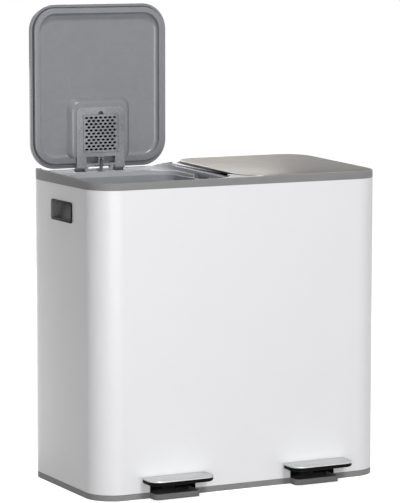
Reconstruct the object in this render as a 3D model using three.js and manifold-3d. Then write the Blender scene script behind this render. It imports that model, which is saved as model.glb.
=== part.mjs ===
// A pedal bin with two compartments side by side: a painted sheet shell on a moulded base, a moulded
// top collar with two lids hinged at the back, and two lift-out buckets. Each pedal turns a lever in
// the base, which lifts a push rod at the back, which lifts its lid beside the hinge.
// Millimetres, +X to the right, +Y to the back, +Z up. The origin is the centre of the base, on the floor.
// The left lid stands open, and the right lid is closed.

import * as THREE from 'three';
import { mergeVertices } from 'three/addons/utils/BufferGeometryUtils.js';
import Module from 'manifold-3d';

const wasm = await Module();
wasm.setup();

// ---- Driving dimensions ----------------------------------------------------------------------

const FIT = 0.3; // between two pieces that touch
const ARC = 5; // steps in a quarter turn of a large corner

const BODY_WIDTH = 650;
const BODY_DEPTH = 345;
const BODY_CORNER = 60;
const CLOSED_HEIGHT = 645; // top of a closed lid, at the back
const LID_FALL = 0.025; // the lids fall towards the front by this slope
const TRIM_HEIGHT = 12;
const COLLAR_HEIGHT = 25; // top of the shell to the top of a closed lid
const SHELL_WALL = 0.8;
const BACK_SEAM = 4; // seam of the back panel to the round of the back corner

const BASE_PLATE = 3;
const BASE_WALL = 3;
const BASE_UPSTAND = 26; // height of the wall that stands inside the shell
const PAD_RADIUS = 11;
const PAD_THICKNESS = 2;
const PAD_INSET = 42; // pad centre to the outside of the base

const LID_MARGIN = 8; // each side of a lid, within its half of the body
const LID_DEPTH = 339;
const LID_CORNER = 54;
const LID_RIM = 7.5; // height of the metal cover's edge
const COVER_SHEET = 0.8;
const COVER_BEVEL = 1.2;
const AXIS_BELOW_TOP = 6; // hinge axis to the lid's top face
const AXIS_FROM_BACK = 4; // hinge axis to the lid's back edge
const LID_BACK_INSET = 0.5; // closed lid's back edge to the back of the body
const LID_OPEN_TILT = 90; // the open lid stands upright

const LINER_PANEL = 2.2;
const RING_INSET = 7; // outside of the sealing ring to the lid's edge
const RING_INSET_BACK = 10;
const RING_WIDTH = 11;
const RING_DEPTH = 11.1; // below the liner's panel
const HUMP_WIDTH = 144;
const HUMP_LENGTH = 142; // from the hinge axis
const HUMP_CORNER = 22;
const HUMP_SLOPE = 9; // width of its slanting side
const HUMP_WALL = 2.5;

const PLATE_WIDTH = 110;
const PLATE_LENGTH = 122; // from the hinge axis
const PLATE_CORNER = 12;
const PLATE_THICKNESS = 2.2;
const KNUCKLE_WIDTH = 22;
const KNUCKLE_RADIUS = 4.8;
const KNUCKLE_HEEL = 6; // how far a knuckle's heel stands behind the axis
const WINDOW_START = 5; // windows of the plate, from the hinge axis
const WINDOW_END = 19;
const WEB_WIDTH = 11.6; // between the two windows
const WINDOW_BACKING = 5.5; // end of the liner's panel behind them, from the hinge axis
const LIFT_SLOT = 6.4; // for the rod's head, inside the web

const FILTER_WIDTH = 80;
const FILTER_START = 27; // from the hinge axis
const FILTER_END = 107;
const FILTER_CORNER = 4;
const FILTER_LEDGE = 5; // width of the liner's ledge behind the cover's edge
const FILTER_COVER = 1.6;
const PAD_FILTER_DEPTH = 7;
const SLOT_ROWS = 11;
const SLOT_COLUMNS = 7;
const SLOT_PITCH_X = 10.7;
const SLOT_PITCH_Y = 6.6;
const SLOT_LENGTH = 7.2;
const SLOT_HEIGHT = 4.2;
const SLOT_FIRST = 34; // first row, from the hinge axis
const NOTCH_RADIUS = 6.5; // finger notch at the cover's end

const HINGE_PIN = 4; // diameter
const LUG_WIDTH = 8;
const LIFT_PIN = 4; // diameter
const LIFT_PIN_FORWARD = 14; // lift pin in front of the hinge axis, lid closed
const LIFT_PIN_BELOW = 6;

const COLLAR_SKIRT = 22; // below the shell's top edge
const COLLAR_WALL = 3;
const LID_GAP = 1; // round a closed lid
const BAND_BELOW_LID = 1.5; // band's top edge below the lid's top face
const RIM_SEAT = 0.5; // under the closed lid's metal edge
const RIDGE_DROP = 4; // ridge between the lids below the band's top edge
const LEDGE_BELOW_AXIS = 11.4;
const BACK_LIP_BELOW_AXIS = 6.4;
const BACK_LIP = 3.5; // thickness
const CORNER_REACH = 14; // lowered end of the band, in front of the hinge axis
const HEEL_ROOM = 0.8; // behind a knuckle's heel
const HINGE_COVER = 2.2; // wall behind that room
const OPENING_INNER = 16; // opening's edge to the middle of the body
const OPENING_SIDE = 60; // opening's outer edge to the side of the body
const OPENING_FRONT = -140;
const OPENING_BACK = 122;
const OPENING_CORNER = 42;
const FINGER_FRONT = -45;
const FINGER_BACK = 20;
const FINGER_DEPTH = 9.5;
const FINGER_BELOW_SHELL = 16;
const FINGER_ABOVE_SHELL = 7;

const BUCKET_GAP = 2; // rim of the bucket to the collar's opening
const BUCKET_RIM_WIDTH = 4.5;
const BUCKET_RIM_HEIGHT = 5;
const BUCKET_BELOW_SHELL = 0.5;
const BUCKET_WALL = 2;
const BUCKET_TAPER = 0.95; // size of its foot against its mouth
const BUCKET_REST = 50; // top of the ribs it stands on
const RIB_OFFSET = 80; // rib to the middle of its bucket
const RIB_WIDTH = 4;
const RIB_REACH = 112;

const GRIP_WIDTH = 101;
const GRIP_HEIGHT = 42;
const GRIP_CORNER = 6;
const GRIP_FRAME = 4.5;
const GRIP_PROUD = 1;
const GRIP_FLANGE = 1;
const GRIP_DEPTH = 24;
const GRIP_WALL = 2;
const GRIP_CENTRE_Y = -5.5;
const GRIP_BELOW_SHELL = 53; // its centre, below the shell's top edge

const PEDAL_INWARD = 2.5; // pedal centre to the middle of its half of the body
const PEDAL_WIDTH = 145;
const PEDAL_DEPTH = 56;
const PEDAL_CORNER = 26;
const PEDAL_BACK_CORNER = 10;
const PEDAL_GAP = 2; // front of the shell to the pedal's back edge
const PEDAL_TOP = 44.5;
const TREAD_THICKNESS = 2.4;
const PEDAL_BODY = 6;
const WELL_WIDTH = 102;
const WELL_REACH = 26; // in front of the shell
const WELL_CORNER = 11;
const WELL_WALL = 3;
const HOUSING_HEIGHT = 30;
const HOUSING_DEPTH = 22;
const HOUSING_WALL = 2;
const LEVER_SLOT = 32; // width of the lever's slot in the housing
const LEVER_FRONT_GAP = 3; // to the well's front wall

const LEVER_WIDTH = 24;
const LEVER_THICKNESS = 4;
const LEVER_REAR_Z = 28;
const LEVER_PIVOT_Y = -10;
const LEVER_BEND_BACK = -120;
const LEVER_BEND_FRONT = -160;
const BARREL_RADIUS = 7;
const SHAFT_RADIUS = 4;
const SHAFT_LENGTH = 56;
const SADDLE_WIDTH = 7;

const ROD_RADIUS = 4;
const ROD_BEHIND_AXIS = -11; // the rod's centre against the hinge axis
const ROD_HEAD_WIDTH = 5;
const ROD_HEAD_DEPTH = 13;
const ROD_HEAD_HEIGHT = 13;
const ROD_FOOT_GAP = 0.6; // to the lever, pedal up and lid closed
const ROD_SLOT_WIDTH = 16;
const GUIDE_WIDTH = 16;
const GUIDE_HEIGHT = 12;
const GUIDE_LOW = 130;
const GUIDE_BELOW_SHELL = 150; // the upper guide

// ---- Places worked out from them -------------------------------------------------------------

const SLOPE = Math.atan(LID_FALL);
const OPEN_ANGLE = THREE.MathUtils.degToRad(LID_OPEN_TILT);
const BACK = BODY_DEPTH / 2;
const FRONT = -BODY_DEPTH / 2;
const SHELL_TOP = CLOSED_HEIGHT - COLLAR_HEIGHT;
const LID_CENTRE = BODY_WIDTH / 4;
const LID_WIDTH = BODY_WIDTH / 2 - 2 * LID_MARGIN;
const OPENING_OUTER = BODY_WIDTH / 2 - OPENING_SIDE;
const PEDAL_CENTRE = BODY_WIDTH / 4 - PEDAL_INWARD;
const AXIS_Y = BACK - LID_BACK_INSET - AXIS_FROM_BACK;
const AXIS_Z = CLOSED_HEIGHT - LID_FALL * (BACK - AXIS_Y) - AXIS_BELOW_TOP;
const LINER_TOP = AXIS_BELOW_TOP - COVER_SHEET - FIT;
const PANEL_FACE = LINER_TOP - LINER_PANEL;
const RING_FACE = PANEL_FACE - RING_DEPTH;
const PLATE_BACK = RING_FACE - FIT;
const PLATE_FACE = PLATE_BACK - PLATE_THICKNESS;
const RIM_BOTTOM = AXIS_BELOW_TOP - LID_RIM;
const LID_BACK_Y = AXIS_FROM_BACK;
const liftPinHeight = (turn) => -LIFT_PIN_FORWARD * Math.sin(turn) - LIFT_PIN_BELOW * Math.cos(turn);
const LIFT_TRAVEL = liftPinHeight(-OPEN_ANGLE) - liftPinHeight(SLOPE);
const ROD_Y = AXIS_Y + ROD_BEHIND_AXIS;
const ROD_TOP = AXIS_Z + liftPinHeight(SLOPE) - LIFT_PIN / 2 - FIT;
const LEVER_TOP = LEVER_REAR_Z + LEVER_THICKNESS / 2;
const ROD_FOOT = LEVER_TOP + ROD_FOOT_GAP;
const SHAFT_Z = LEVER_REAR_Z - LEVER_THICKNESS / 2 - BARREL_RADIUS + 1;
const SHELL_INSIDE = BACK - SHELL_WALL;
const BACK_PANEL_HALF = BODY_WIDTH / 2 - BODY_CORNER - BACK_SEAM;
const BUCKET_TOP = SHELL_TOP - BUCKET_BELOW_SHELL;
const BUCKET_X = (OPENING_INNER + OPENING_OUTER) / 2;
const BUCKET_Y = (OPENING_FRONT + OPENING_BACK) / 2;
const BUCKET_WIDTH = OPENING_OUTER - OPENING_INNER - 2 * BUCKET_GAP;
const BUCKET_DEPTH = OPENING_BACK - OPENING_FRONT - 2 * BUCKET_GAP;
const GRIP_CENTRE_Z = SHELL_TOP - GRIP_BELOW_SHELL;
const PEDAL_Y = FRONT - PEDAL_GAP - PEDAL_DEPTH / 2;
const PEDAL_BOTTOM = PEDAL_TOP - TREAD_THICKNESS - FIT - PEDAL_BODY;
const LEVER_FRONT_Z = PEDAL_BOTTOM - FIT - LEVER_THICKNESS / 2;
const HOUSING_TOP = TRIM_HEIGHT + HOUSING_HEIGHT;

const FAR = 1000; // longer than any piece

// ---- Finishes --------------------------------------------------------------------------------

const finish = (color, roughness, metalness) =>
  new THREE.MeshStandardMaterial({ color, roughness, metalness });
const whitePaint = () => finish(0xecebec, 0.4, 0.1);
const greyPlastic = () => finish(0x86878b, 0.45, 0);
const darkPlastic = () => finish(0x3f3f42, 0.5, 0);
const blackPlastic = () => finish(0x161617, 0.55, 0);
const bucketPlastic = () => finish(0x7d7f83, 0.5, 0);
const blackSteel = () => finish(0x1f1f20, 0.5, 0.3);
const satinSteel = () => finish(0xa9a6a2, 0.35, 1);
const brightSteel = () => finish(0xc8c9ca, 0.2, 1);
const zincSteel = () => finish(0x9a9c9e, 0.4, 0.9);
const softRubber = () => finish(0x222222, 0.9, 0);
const carbonFelt = () => finish(0x1b1b1c, 1, 0);

// ---- Solids ----------------------------------------------------------------------------------

// A closed geometry as a solid.
function solid(geometry) {
  const bare = geometry.clone();
  bare.deleteAttribute('normal');
  bare.deleteAttribute('uv');
  const merged = mergeVertices(bare, 1e-4);
  const vertProperties = new Float32Array(merged.attributes.position.array);
  const triVerts = new Uint32Array(merged.index.array);
  return new wasm.Manifold(new wasm.Mesh({ numProp: 3, vertProperties, triVerts }));
}

const join = (...solids) => solids.reduce((a, b) => a.add(b));
const cut = (body, ...tools) => tools.reduce((a, b) => a.subtract(b), body);

// A solid as a named mesh.
function piece(name, body, material) {
  const mesh = body.getMesh();
  const geometry = new THREE.BufferGeometry();
  geometry.setAttribute('position', new THREE.BufferAttribute(mesh.vertProperties, 3));
  geometry.setIndex(new THREE.BufferAttribute(mesh.triVerts, 1));
  geometry.computeVertexNormals();
  const result = new THREE.Mesh(geometry, material);
  result.name = name;
  return result;
}

// A rectangle with round corners, between two x and two y values. Its back corners can differ.
function plate(x0, x1, y0, y1, corner, backCorner = corner) {
  const shape = new THREE.Shape();
  const limit = Math.min((x1 - x0) / 2, (y1 - y0) / 2);
  const r = Math.min(corner, limit);
  const b = Math.min(backCorner, limit);
  shape.moveTo(x0 + r, y0);
  shape.absarc(x1 - r, y0 + r, r, -Math.PI / 2, 0);
  shape.absarc(x1 - b, y1 - b, b, 0, Math.PI / 2);
  shape.absarc(x0 + b, y1 - b, b, Math.PI / 2, Math.PI);
  shape.absarc(x0 + r, y0 + r, r, Math.PI, 1.5 * Math.PI);
  return shape;
}

// A shape in the XY plane, drawn up from z0 to z1.
function prism(shape, z0, z1, steps = ARC) {
  const geometry = new THREE.ExtrudeGeometry(shape, {
    depth: z1 - z0,
    bevelEnabled: false,
    curveSegments: steps,
  });
  return solid(geometry.translate(0, 0, z0));
}

// The same with its top edge, its bottom edge or both rounded by a bevel inside the outline.
function softPrism(shape, z0, z1, bevel, steps = ARC) {
  const geometry = new THREE.ExtrudeGeometry(shape, {
    depth: z1 - z0 - 2 * bevel,
    bevelEnabled: true,
    bevelThickness: bevel,
    bevelSize: bevel,
    bevelOffset: -bevel,
    bevelSegments: 1,
    curveSegments: steps,
  });
  return solid(geometry.translate(0, 0, z0 + bevel));
}

function block(x0, x1, y0, y1, z0, z1) {
  const geometry = new THREE.BoxGeometry(x1 - x0, y1 - y0, z1 - z0);
  return solid(geometry.translate((x0 + x1) / 2, (y0 + y1) / 2, (z0 + z1) / 2));
}

// A round bar along X between x0 and x1.
function barX(x0, x1, y, z, radius, sides = 24) {
  const geometry = new THREE.CylinderGeometry(radius, radius, x1 - x0, sides);
  return solid(geometry.rotateZ(Math.PI / 2).translate((x0 + x1) / 2, y, z));
}

// A round bar along Z between z0 and z1.
function barZ(x, y, z0, z1, radius, sides = 24) {
  const geometry = new THREE.CylinderGeometry(radius, radius, z1 - z0, sides);
  return solid(geometry.rotateX(Math.PI / 2).translate(x, y, (z0 + z1) / 2));
}

// A profile in the YZ plane, drawn along X between x0 and x1.
function profileX(points, x0, x1) {
  const shape = new THREE.Shape(points.map(([y, z]) => new THREE.Vector2(y, z)));
  const geometry = new THREE.ExtrudeGeometry(shape, { depth: x1 - x0, bevelEnabled: false });
  const turn = new THREE.Matrix4().set(0, 0, 1, x0, 1, 0, 0, 0, 0, 1, 0, 0, 0, 0, 0, 1);
  return solid(geometry.applyMatrix4(turn));
}

// A prism whose section shrinks evenly about (x, y), from full size at z1 to the share at z0.
function tapered(shape, z0, z1, share, x, y) {
  const geometry = new THREE.ExtrudeGeometry(shape, {
    depth: z1 - z0,
    bevelEnabled: false,
    curveSegments: ARC,
  });
  const position = geometry.translate(0, 0, z0).attributes.position;
  for (let i = 0; i < position.count; i += 1) {
    const up = (position.getZ(i) - z0) / (z1 - z0);
    const scale = share + (1 - share) * up;
    position.setX(i, x + (position.getX(i) - x) * scale);
    position.setY(i, y + (position.getY(i) - y) * scale);
  }
  return solid(geometry);
}

// The lid's own frame has its origin on the hinge axis in the middle of the lid, with the lid flat.
// This puts a solid of that frame where the closed lid is, in the body's frame.
function closedPlace(body, x = 0) {
  return body.rotate([THREE.MathUtils.radToDeg(SLOPE), 0, 0]).translate([x, AXIS_Y, AXIS_Z]);
}

// ---- Shell, base and grips -------------------------------------------------------------------

const bodyOutline = (inset) =>
  plate(-BODY_WIDTH / 2 + inset, BODY_WIDTH / 2 - inset, FRONT + inset, BACK - inset, BODY_CORNER - inset);

const SIDES = [
  ['left', -1],
  ['right', 1],
];

// A sheet bent round the front, the sides and the four corners. A flat panel closes it at the back.
function bodyShell() {
  const seam = BACK_PANEL_HALF + FIT;
  let body = cut(
    prism(bodyOutline(0), TRIM_HEIGHT + FIT, SHELL_TOP),
    prism(bodyOutline(SHELL_WALL), 0, FAR),
    block(-seam, seam, 0, FAR, 0, FAR),
  );
  for (const [, side] of SIDES) {
    const x = side * PEDAL_CENTRE;
    const half = WELL_WIDTH / 2;
    body = cut(body, block(x - half, x + half, FRONT - 1, FRONT + 5, 0, HOUSING_TOP + FIT));
    body = cut(body, gripCutout(side));
  }
  return piece('body_shell', body, whitePaint());
}

function backPanel() {
  const half = BACK_PANEL_HALF;
  return piece(
    'back_panel',
    block(-half, half, SHELL_INSIDE, BACK, TRIM_HEIGHT + FIT, SHELL_TOP),
    whitePaint(),
  );
}

// The hole in the shell that a grip cup stands in.
function gripCutout(side) {
  const halfWidth = GRIP_WIDTH / 2 - GRIP_FRAME + GRIP_WALL;
  const halfHeight = GRIP_HEIGHT / 2 - GRIP_FRAME + GRIP_WALL;
  const near = BODY_WIDTH / 2 - 5;
  const far = BODY_WIDTH / 2 + 5;
  return block(
    Math.min(side * near, side * far),
    Math.max(side * near, side * far),
    GRIP_CENTRE_Y - halfWidth - FIT,
    GRIP_CENTRE_Y + halfWidth + FIT,
    GRIP_CENTRE_Z - halfHeight - FIT,
    GRIP_CENTRE_Z + halfHeight + FIT,
  );
}

// Built along Z with its mouth at z = 0 and its pocket below, then turned to face out of the side.
function gripCup(name, side) {
  const w = GRIP_WIDTH / 2;
  const h = GRIP_HEIGHT / 2;
  const inW = w - GRIP_FRAME;
  const inH = h - GRIP_FRAME;
  const flange = softPrism(plate(-w, w, -h, h, GRIP_CORNER), FIT, GRIP_PROUD + GRIP_FLANGE, 0.4, 4);
  const cup = prism(
    plate(-inW - GRIP_WALL, inW + GRIP_WALL, -inH - GRIP_WALL, inH + GRIP_WALL, GRIP_CORNER),
    -GRIP_DEPTH - GRIP_WALL,
    GRIP_PROUD,
    4,
  );
  const pocket = prism(plate(-inW, inW, -inH, inH, GRIP_CORNER - 2), -GRIP_DEPTH, FAR, 4);
  const body = cut(join(flange, cup), pocket);
  const faced = body.rotate([90, 0, 90]);
  const turned = side > 0 ? faced : faced.rotate([0, 0, 180]);
  return piece(
    name,
    turned.translate([(side * BODY_WIDTH) / 2, GRIP_CENTRE_Y, GRIP_CENTRE_Z]),
    darkPlastic(),
  );
}

const padPlaces = () => {
  const x = BODY_WIDTH / 2 - PAD_INSET;
  const y = BACK - PAD_INSET;
  return [
    ['foot_pad_front_left', -x, -y],
    ['foot_pad_front_right', x, -y],
    ['foot_pad_back_left', -x, y],
    ['foot_pad_back_right', x, y],
  ];
};

function footPads() {
  return padPlaces().map(([name, x, y]) =>
    piece(name, barZ(x, y, 0, PAD_THICKNESS - FIT, PAD_RADIUS), softRubber()),
  );
}

function baseTray() {
  const upstand = SHELL_WALL + FIT;
  let body = join(
    prism(bodyOutline(0), 0, TRIM_HEIGHT),
    prism(bodyOutline(upstand), 0, TRIM_HEIGHT + BASE_UPSTAND),
  );
  body = cut(body, prism(bodyOutline(upstand + BASE_WALL), BASE_PLATE, FAR));
  for (const [, side] of SIDES) {
    const x = side * PEDAL_CENTRE;
    const half = WELL_WIDTH / 2;
    const reach = FRONT - WELL_REACH;
    const inHalf = half - WELL_WALL;
    const inReach = reach + WELL_WALL;
    const inCorner = WELL_CORNER - WELL_WALL;
    const well = prism(plate(x - half, x + half, reach, FRONT + 30, WELL_CORNER), 0, TRIM_HEIGHT);
    const hollow = prism(plate(x - inHalf, x + inHalf, inReach, FRONT + 40, inCorner), BASE_PLATE, FAR);
    body = cut(join(body, well), hollow);
    body = cut(body, block(x - half, x + half, FRONT - 1, FRONT + 30, TRIM_HEIGHT, FAR));
    for (const rib of [-1, 1]) {
      const ribX = side * BUCKET_X + rib * RIB_OFFSET;
      body = join(
        body,
        block(
          ribX - RIB_WIDTH / 2,
          ribX + RIB_WIDTH / 2,
          BUCKET_Y - RIB_REACH,
          BUCKET_Y + RIB_REACH,
          BASE_PLATE - 1,
          BUCKET_REST,
        ),
      );
      body = join(body, saddle(x, rib));
    }
  }
  for (const [, x, y] of padPlaces()) {
    body = cut(body, barZ(x, y, -1, PAD_THICKNESS, PAD_RADIUS + FIT));
  }
  return piece('base_tray', body, greyPlastic());
}

// One of the two lugs that hold a pedal's pivot shaft.
function saddle(x, end) {
  const outer = x + end * (SHAFT_LENGTH / 2);
  const inner = outer - end * SADDLE_WIDTH;
  const x0 = Math.min(inner, outer);
  const x1 = Math.max(inner, outer);
  const foot = SHAFT_RADIUS + 9;
  const head = SHAFT_RADIUS + 4;
  const lug = profileX(
    [
      [LEVER_PIVOT_Y - foot, BASE_PLATE - 1],
      [LEVER_PIVOT_Y + foot, BASE_PLATE - 1],
      [LEVER_PIVOT_Y + head, SHAFT_Z + head],
      [LEVER_PIVOT_Y - head, SHAFT_Z + head],
    ],
    x0,
    x1,
  );
  return cut(lug, barX(x0 - 1, x1 + 1, LEVER_PIVOT_Y, SHAFT_Z, SHAFT_RADIUS + FIT));
}

// ---- Collar ----------------------------------------------------------------------------------

const openingOutline = (side, grow) => {
  const inner = OPENING_INNER - grow;
  const outer = OPENING_OUTER + grow;
  const [x0, x1] = side > 0 ? [inner, outer] : [-outer, -inner];
  return plate(x0, x1, OPENING_FRONT - grow, OPENING_BACK + grow, OPENING_CORNER + grow);
};

const lidOutline = (inset, insetBack = inset) =>
  plate(
    -LID_WIDTH / 2 + inset,
    LID_WIDTH / 2 - inset,
    LID_BACK_Y - LID_DEPTH + inset,
    LID_BACK_Y - insetBack,
    LID_CORNER - inset,
  );

function collarSolid() {
  const skirtInset = SHELL_WALL + FIT;
  let body = join(
    prism(bodyOutline(0), SHELL_TOP + FIT, CLOSED_HEIGHT + 10),
    prism(bodyOutline(skirtInset), SHELL_TOP - COLLAR_SKIRT, SHELL_TOP + 2),
  );
  for (const [, side] of SIDES) {
    body = join(body, hingeCover(side));
  }
  const above = block(-FAR, FAR, -FAR, FAR, AXIS_BELOW_TOP - BAND_BELOW_LID, FAR);
  body = cut(body, closedPlace(above));
  body = cut(body, closedPlace(dividerCut()), closedPlace(backCut()), closedPlace(cornerCut()));
  for (const [, side] of SIDES) {
    body = cut(body, closedPlace(lidRecess(), side * LID_CENTRE));
    body = cut(body, prism(openingOutline(side, 0), 0, FAR));
    body = cut(body, rodSlot(side), fingerRecess(side));
  }
  body = cut(body, skirtHollow());
  for (const [, side] of SIDES) {
    body = join(body, hingeLugs(side));
  }
  return body;
}

// The collar's middle bar is a piece of its own, between the straight sides of the openings.
const dividerRoom = (gap) =>
  block(
    -OPENING_INNER - 1,
    OPENING_INNER + 1,
    OPENING_FRONT + OPENING_CORNER - gap,
    OPENING_BACK - OPENING_CORNER + gap,
    -FAR,
    FAR,
  );

const topCollar = () => piece('top_collar', cut(collarSolid(), dividerRoom(FIT)), greyPlastic());
const dividerBar = () => piece('divider_bar', collarSolid().intersect(dividerRoom(0)), greyPlastic());

// Lowers the ridge between the lids, behind the round front corners of the lids.
function dividerCut() {
  const half = LID_CENTRE - LID_WIDTH / 2 + LID_GAP;
  const front = LID_BACK_Y - LID_DEPTH + LID_CORNER;
  return block(-half, half, front, FAR, AXIS_BELOW_TOP - BAND_BELOW_LID - RIDGE_DROP, FAR);
}

// Lowers the back edge, where an open lid hangs a little over it.
function backCut() {
  const half = BODY_WIDTH / 2 - BODY_CORNER / 2;
  return block(-half, half, LID_BACK_Y - 2 * BACK_LIP, FAR, -BACK_LIP_BELOW_AXIS, FAR);
}

// Lowers the ends of the band a little beside it, where a turning lid's back corner passes.
const cornerCut = () => block(-FAR, FAR, -CORNER_REACH, FAR, 0, FAR);

// A wall behind the knuckles' heels, on the back of the collar.
function hingeCover(side) {
  const x = side * LID_CENTRE;
  const half = PLATE_WIDTH / 2 + 1 + HINGE_COVER;
  const back = AXIS_Y + KNUCKLE_HEEL + HEEL_ROOM + HINGE_COVER;
  return block(x - half, x + half, BACK - 1, back, SHELL_TOP + FIT, AXIS_Z);
}

// What a closed lid needs: room for its metal edge, its sealing ring and its knuckles.
function lidRecess() {
  const rim = prism(lidOutline(-LID_GAP), RIM_BOTTOM - RIM_SEAT, FAR);
  const ledge = prism(
    plate(
      -LID_WIDTH / 2 + RING_INSET - 1.5,
      LID_WIDTH / 2 - RING_INSET + 1.5,
      LID_BACK_Y - LID_DEPTH + RING_INSET - 1.5,
      BACK - AXIS_Y - BACK_LIP,
      LID_CORNER - RING_INSET,
    ),
    -LEDGE_BELOW_AXIS,
    FAR,
  );
  const sweep = Math.hypot(KNUCKLE_HEEL, PLATE_FACE) + 0.6;
  let room = join(rim, ledge);
  for (const end of [-1, 1]) {
    const outer = end * (PLATE_WIDTH / 2 + 1);
    const inner = end * (PLATE_WIDTH / 2 - KNUCKLE_WIDTH - 0.4);
    room = join(
      room,
      block(
        Math.min(outer, inner),
        Math.max(outer, inner),
        -sweep - 1,
        KNUCKLE_HEEL + HEEL_ROOM,
        -sweep,
        FAR,
      ),
    );
  }
  return room;
}

// The slot that the push rod's head comes up through.
function rodSlot(side) {
  const x = side * LID_CENTRE;
  const half = ROD_SLOT_WIDTH / 2;
  const reach = ROD_HEAD_DEPTH / 2 + 1.5;
  return block(x - half, x + half, ROD_Y - reach, ROD_Y + reach, SHELL_TOP - 60, AXIS_Z);
}

// Room for fingers beside the bucket's rim, in the divider.
function fingerRecess(side) {
  const edge = side * (OPENING_INNER + 1);
  const end = side * (OPENING_INNER - FINGER_DEPTH);
  return block(
    Math.min(edge, end),
    Math.max(edge, end),
    FINGER_FRONT,
    FINGER_BACK,
    SHELL_TOP - FINGER_BELOW_SHELL,
    SHELL_TOP + FINGER_ABOVE_SHELL,
  );
}

// The collar is hollow from below, between its outer skirt and the walls of its openings. Between
// the two finger recesses it is solid.
function skirtHollow() {
  let hollow = prism(bodyOutline(SHELL_WALL + FIT + COLLAR_WALL), SHELL_TOP - 60, SHELL_TOP - 1);
  for (const [, side] of SIDES) {
    hollow = cut(hollow, prism(openingOutline(side, COLLAR_WALL), 0, FAR));
  }
  const front = FINGER_FRONT - COLLAR_WALL;
  const back = FINGER_BACK + COLLAR_WALL;
  return cut(hollow, block(-OPENING_INNER, OPENING_INNER, front, back, 0, FAR));
}

// Two lugs that hold a lid's hinge pin, each beside a knuckle.
function hingeLugs(side) {
  const x = side * LID_CENTRE;
  const edge = PLATE_WIDTH / 2 - KNUCKLE_WIDTH - FIT - 0.4;
  const lugs = [-1, 1].map((end) => {
    const outer = end * edge;
    const inner = end * (edge - LUG_WIDTH);
    const x0 = x + Math.min(outer, inner);
    const x1 = x + Math.max(outer, inner);
    const root = block(x0, x1, AXIS_Y - 0.4, AXIS_Y + LID_BACK_Y, SHELL_TOP + 1, AXIS_Z);
    const eye = barX(x0, x1, AXIS_Y, AXIS_Z, KNUCKLE_RADIUS - FIT);
    return cut(join(root, eye), barX(x0 - 1, x1 + 1, AXIS_Y, AXIS_Z, HINGE_PIN / 2 + FIT, 16));
  });
  return join(...lugs);
}

// ---- Lids, in the lid's own frame ------------------------------------------------------------

// What the hinge needs free in the liner and in the cover's back edge, behind y and up to a height.
const hingeRoom = (y, high) =>
  block(-PLATE_WIDTH / 2 - 1.5, PLATE_WIDTH / 2 + 1.5, y, FAR, -FAR, high);

function lidCover(name) {
  const outside = softPrism(lidOutline(0), RIM_BOTTOM - 5, AXIS_BELOW_TOP, COVER_BEVEL);
  const below = block(-FAR, FAR, -FAR, FAR, -FAR, RIM_BOTTOM);
  const inside = prism(lidOutline(COVER_SHEET), RIM_BOTTOM - 10, AXIS_BELOW_TOP - COVER_SHEET);
  const notch = hingeRoom(0, AXIS_BELOW_TOP - COVER_SHEET);
  return piece(name, cut(outside, below, inside, notch), satinSteel());
}

const humpOutline = (inset) =>
  plate(
    -HUMP_WIDTH / 2 + inset,
    HUMP_WIDTH / 2 - inset,
    -HUMP_LENGTH + inset,
    -RING_INSET_BACK + AXIS_FROM_BACK - 1,
    HUMP_CORNER,
  );

const ringOutline = (inset) => lidOutline(RING_INSET + inset, RING_INSET_BACK + inset);

function lidLiner(name) {
  const inset = COVER_SHEET + FIT;
  const rim = prism(lidOutline(inset), RIM_BOTTOM, LINER_TOP);
  const ring = prism(ringOutline(0), RING_FACE, LINER_TOP);
  const recess = prism(ringOutline(RING_WIDTH), -FAR, PANEL_FACE);
  const middle = (-HUMP_LENGTH - RING_INSET_BACK + AXIS_FROM_BACK) / 2;
  const share = 1 - (2 * HUMP_SLOPE) / HUMP_WIDTH;
  const hump = tapered(humpOutline(0), RING_FACE, PANEL_FACE + 1, share, 0, middle + HUMP_LENGTH / 2);
  const hollow = prism(humpOutline(HUMP_SLOPE + HUMP_WALL), RING_FACE + HUMP_WALL, FAR, 4);
  const strip = block(-FAR, FAR, -WINDOW_END - 3, FAR, -FAR, FAR);
  let body = join(cut(join(rim, ring), recess), hump);
  body = cut(body, cut(hollow, strip), filterOpening());
  body = cut(body, hingeRoom(-WINDOW_END - 0.5, PANEL_FACE), hingeRoom(-WINDOW_BACKING, FAR));
  return piece(name, body, greyPlastic());
}

// The opening of the liner's hump behind the filter, with room behind the finger notch.
function filterOpening() {
  const half = FILTER_WIDTH / 2 - FILTER_LEDGE;
  const shape = plate(-half, half, -FILTER_END + FILTER_LEDGE, -FILTER_START - FILTER_LEDGE, 3);
  const notch = barZ(0, -FILTER_END, -FAR, PANEL_FACE, NOTCH_RADIUS);
  return join(prism(shape, -FAR, FAR, 3), notch);
}

function hingePlate(name) {
  const half = PLATE_WIDTH / 2;
  const face = plate(-half, half, -PLATE_LENGTH, -1, PLATE_CORNER);
  let body = join(
    softPrism(face, PLATE_FACE, PLATE_BACK, 0.7, 5),
    block(-half, half, -PLATE_CORNER - 2, -1, PLATE_FACE, PLATE_BACK),
  );
  const window = FILTER_WIDTH / 2;
  body = cut(
    body,
    prism(plate(-window, window, -FILTER_END, -FILTER_START, FILTER_CORNER), -FAR, FAR, 3),
    barZ(0, -FILTER_END, -FAR, FAR, NOTCH_RADIUS),
  );
  for (const end of [-1, 1]) {
    body = cut(body, plateWindow(end));
    body = join(body, knuckle(end), liftCheek(end));
  }
  const slot = LIFT_SLOT / 2;
  body = cut(
    body,
    block(-slot, slot, -LIFT_PIN_FORWARD - LIFT_PIN, FAR, -FAR, FAR),
    barX(-FAR, FAR, 0, 0, HINGE_PIN / 2 + FIT, 16),
    barX(-WEB_WIDTH, WEB_WIDTH, -LIFT_PIN_FORWARD, -LIFT_PIN_BELOW, LIFT_PIN / 2 + FIT, 16),
  );
  return piece(name, body, greyPlastic());
}

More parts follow.
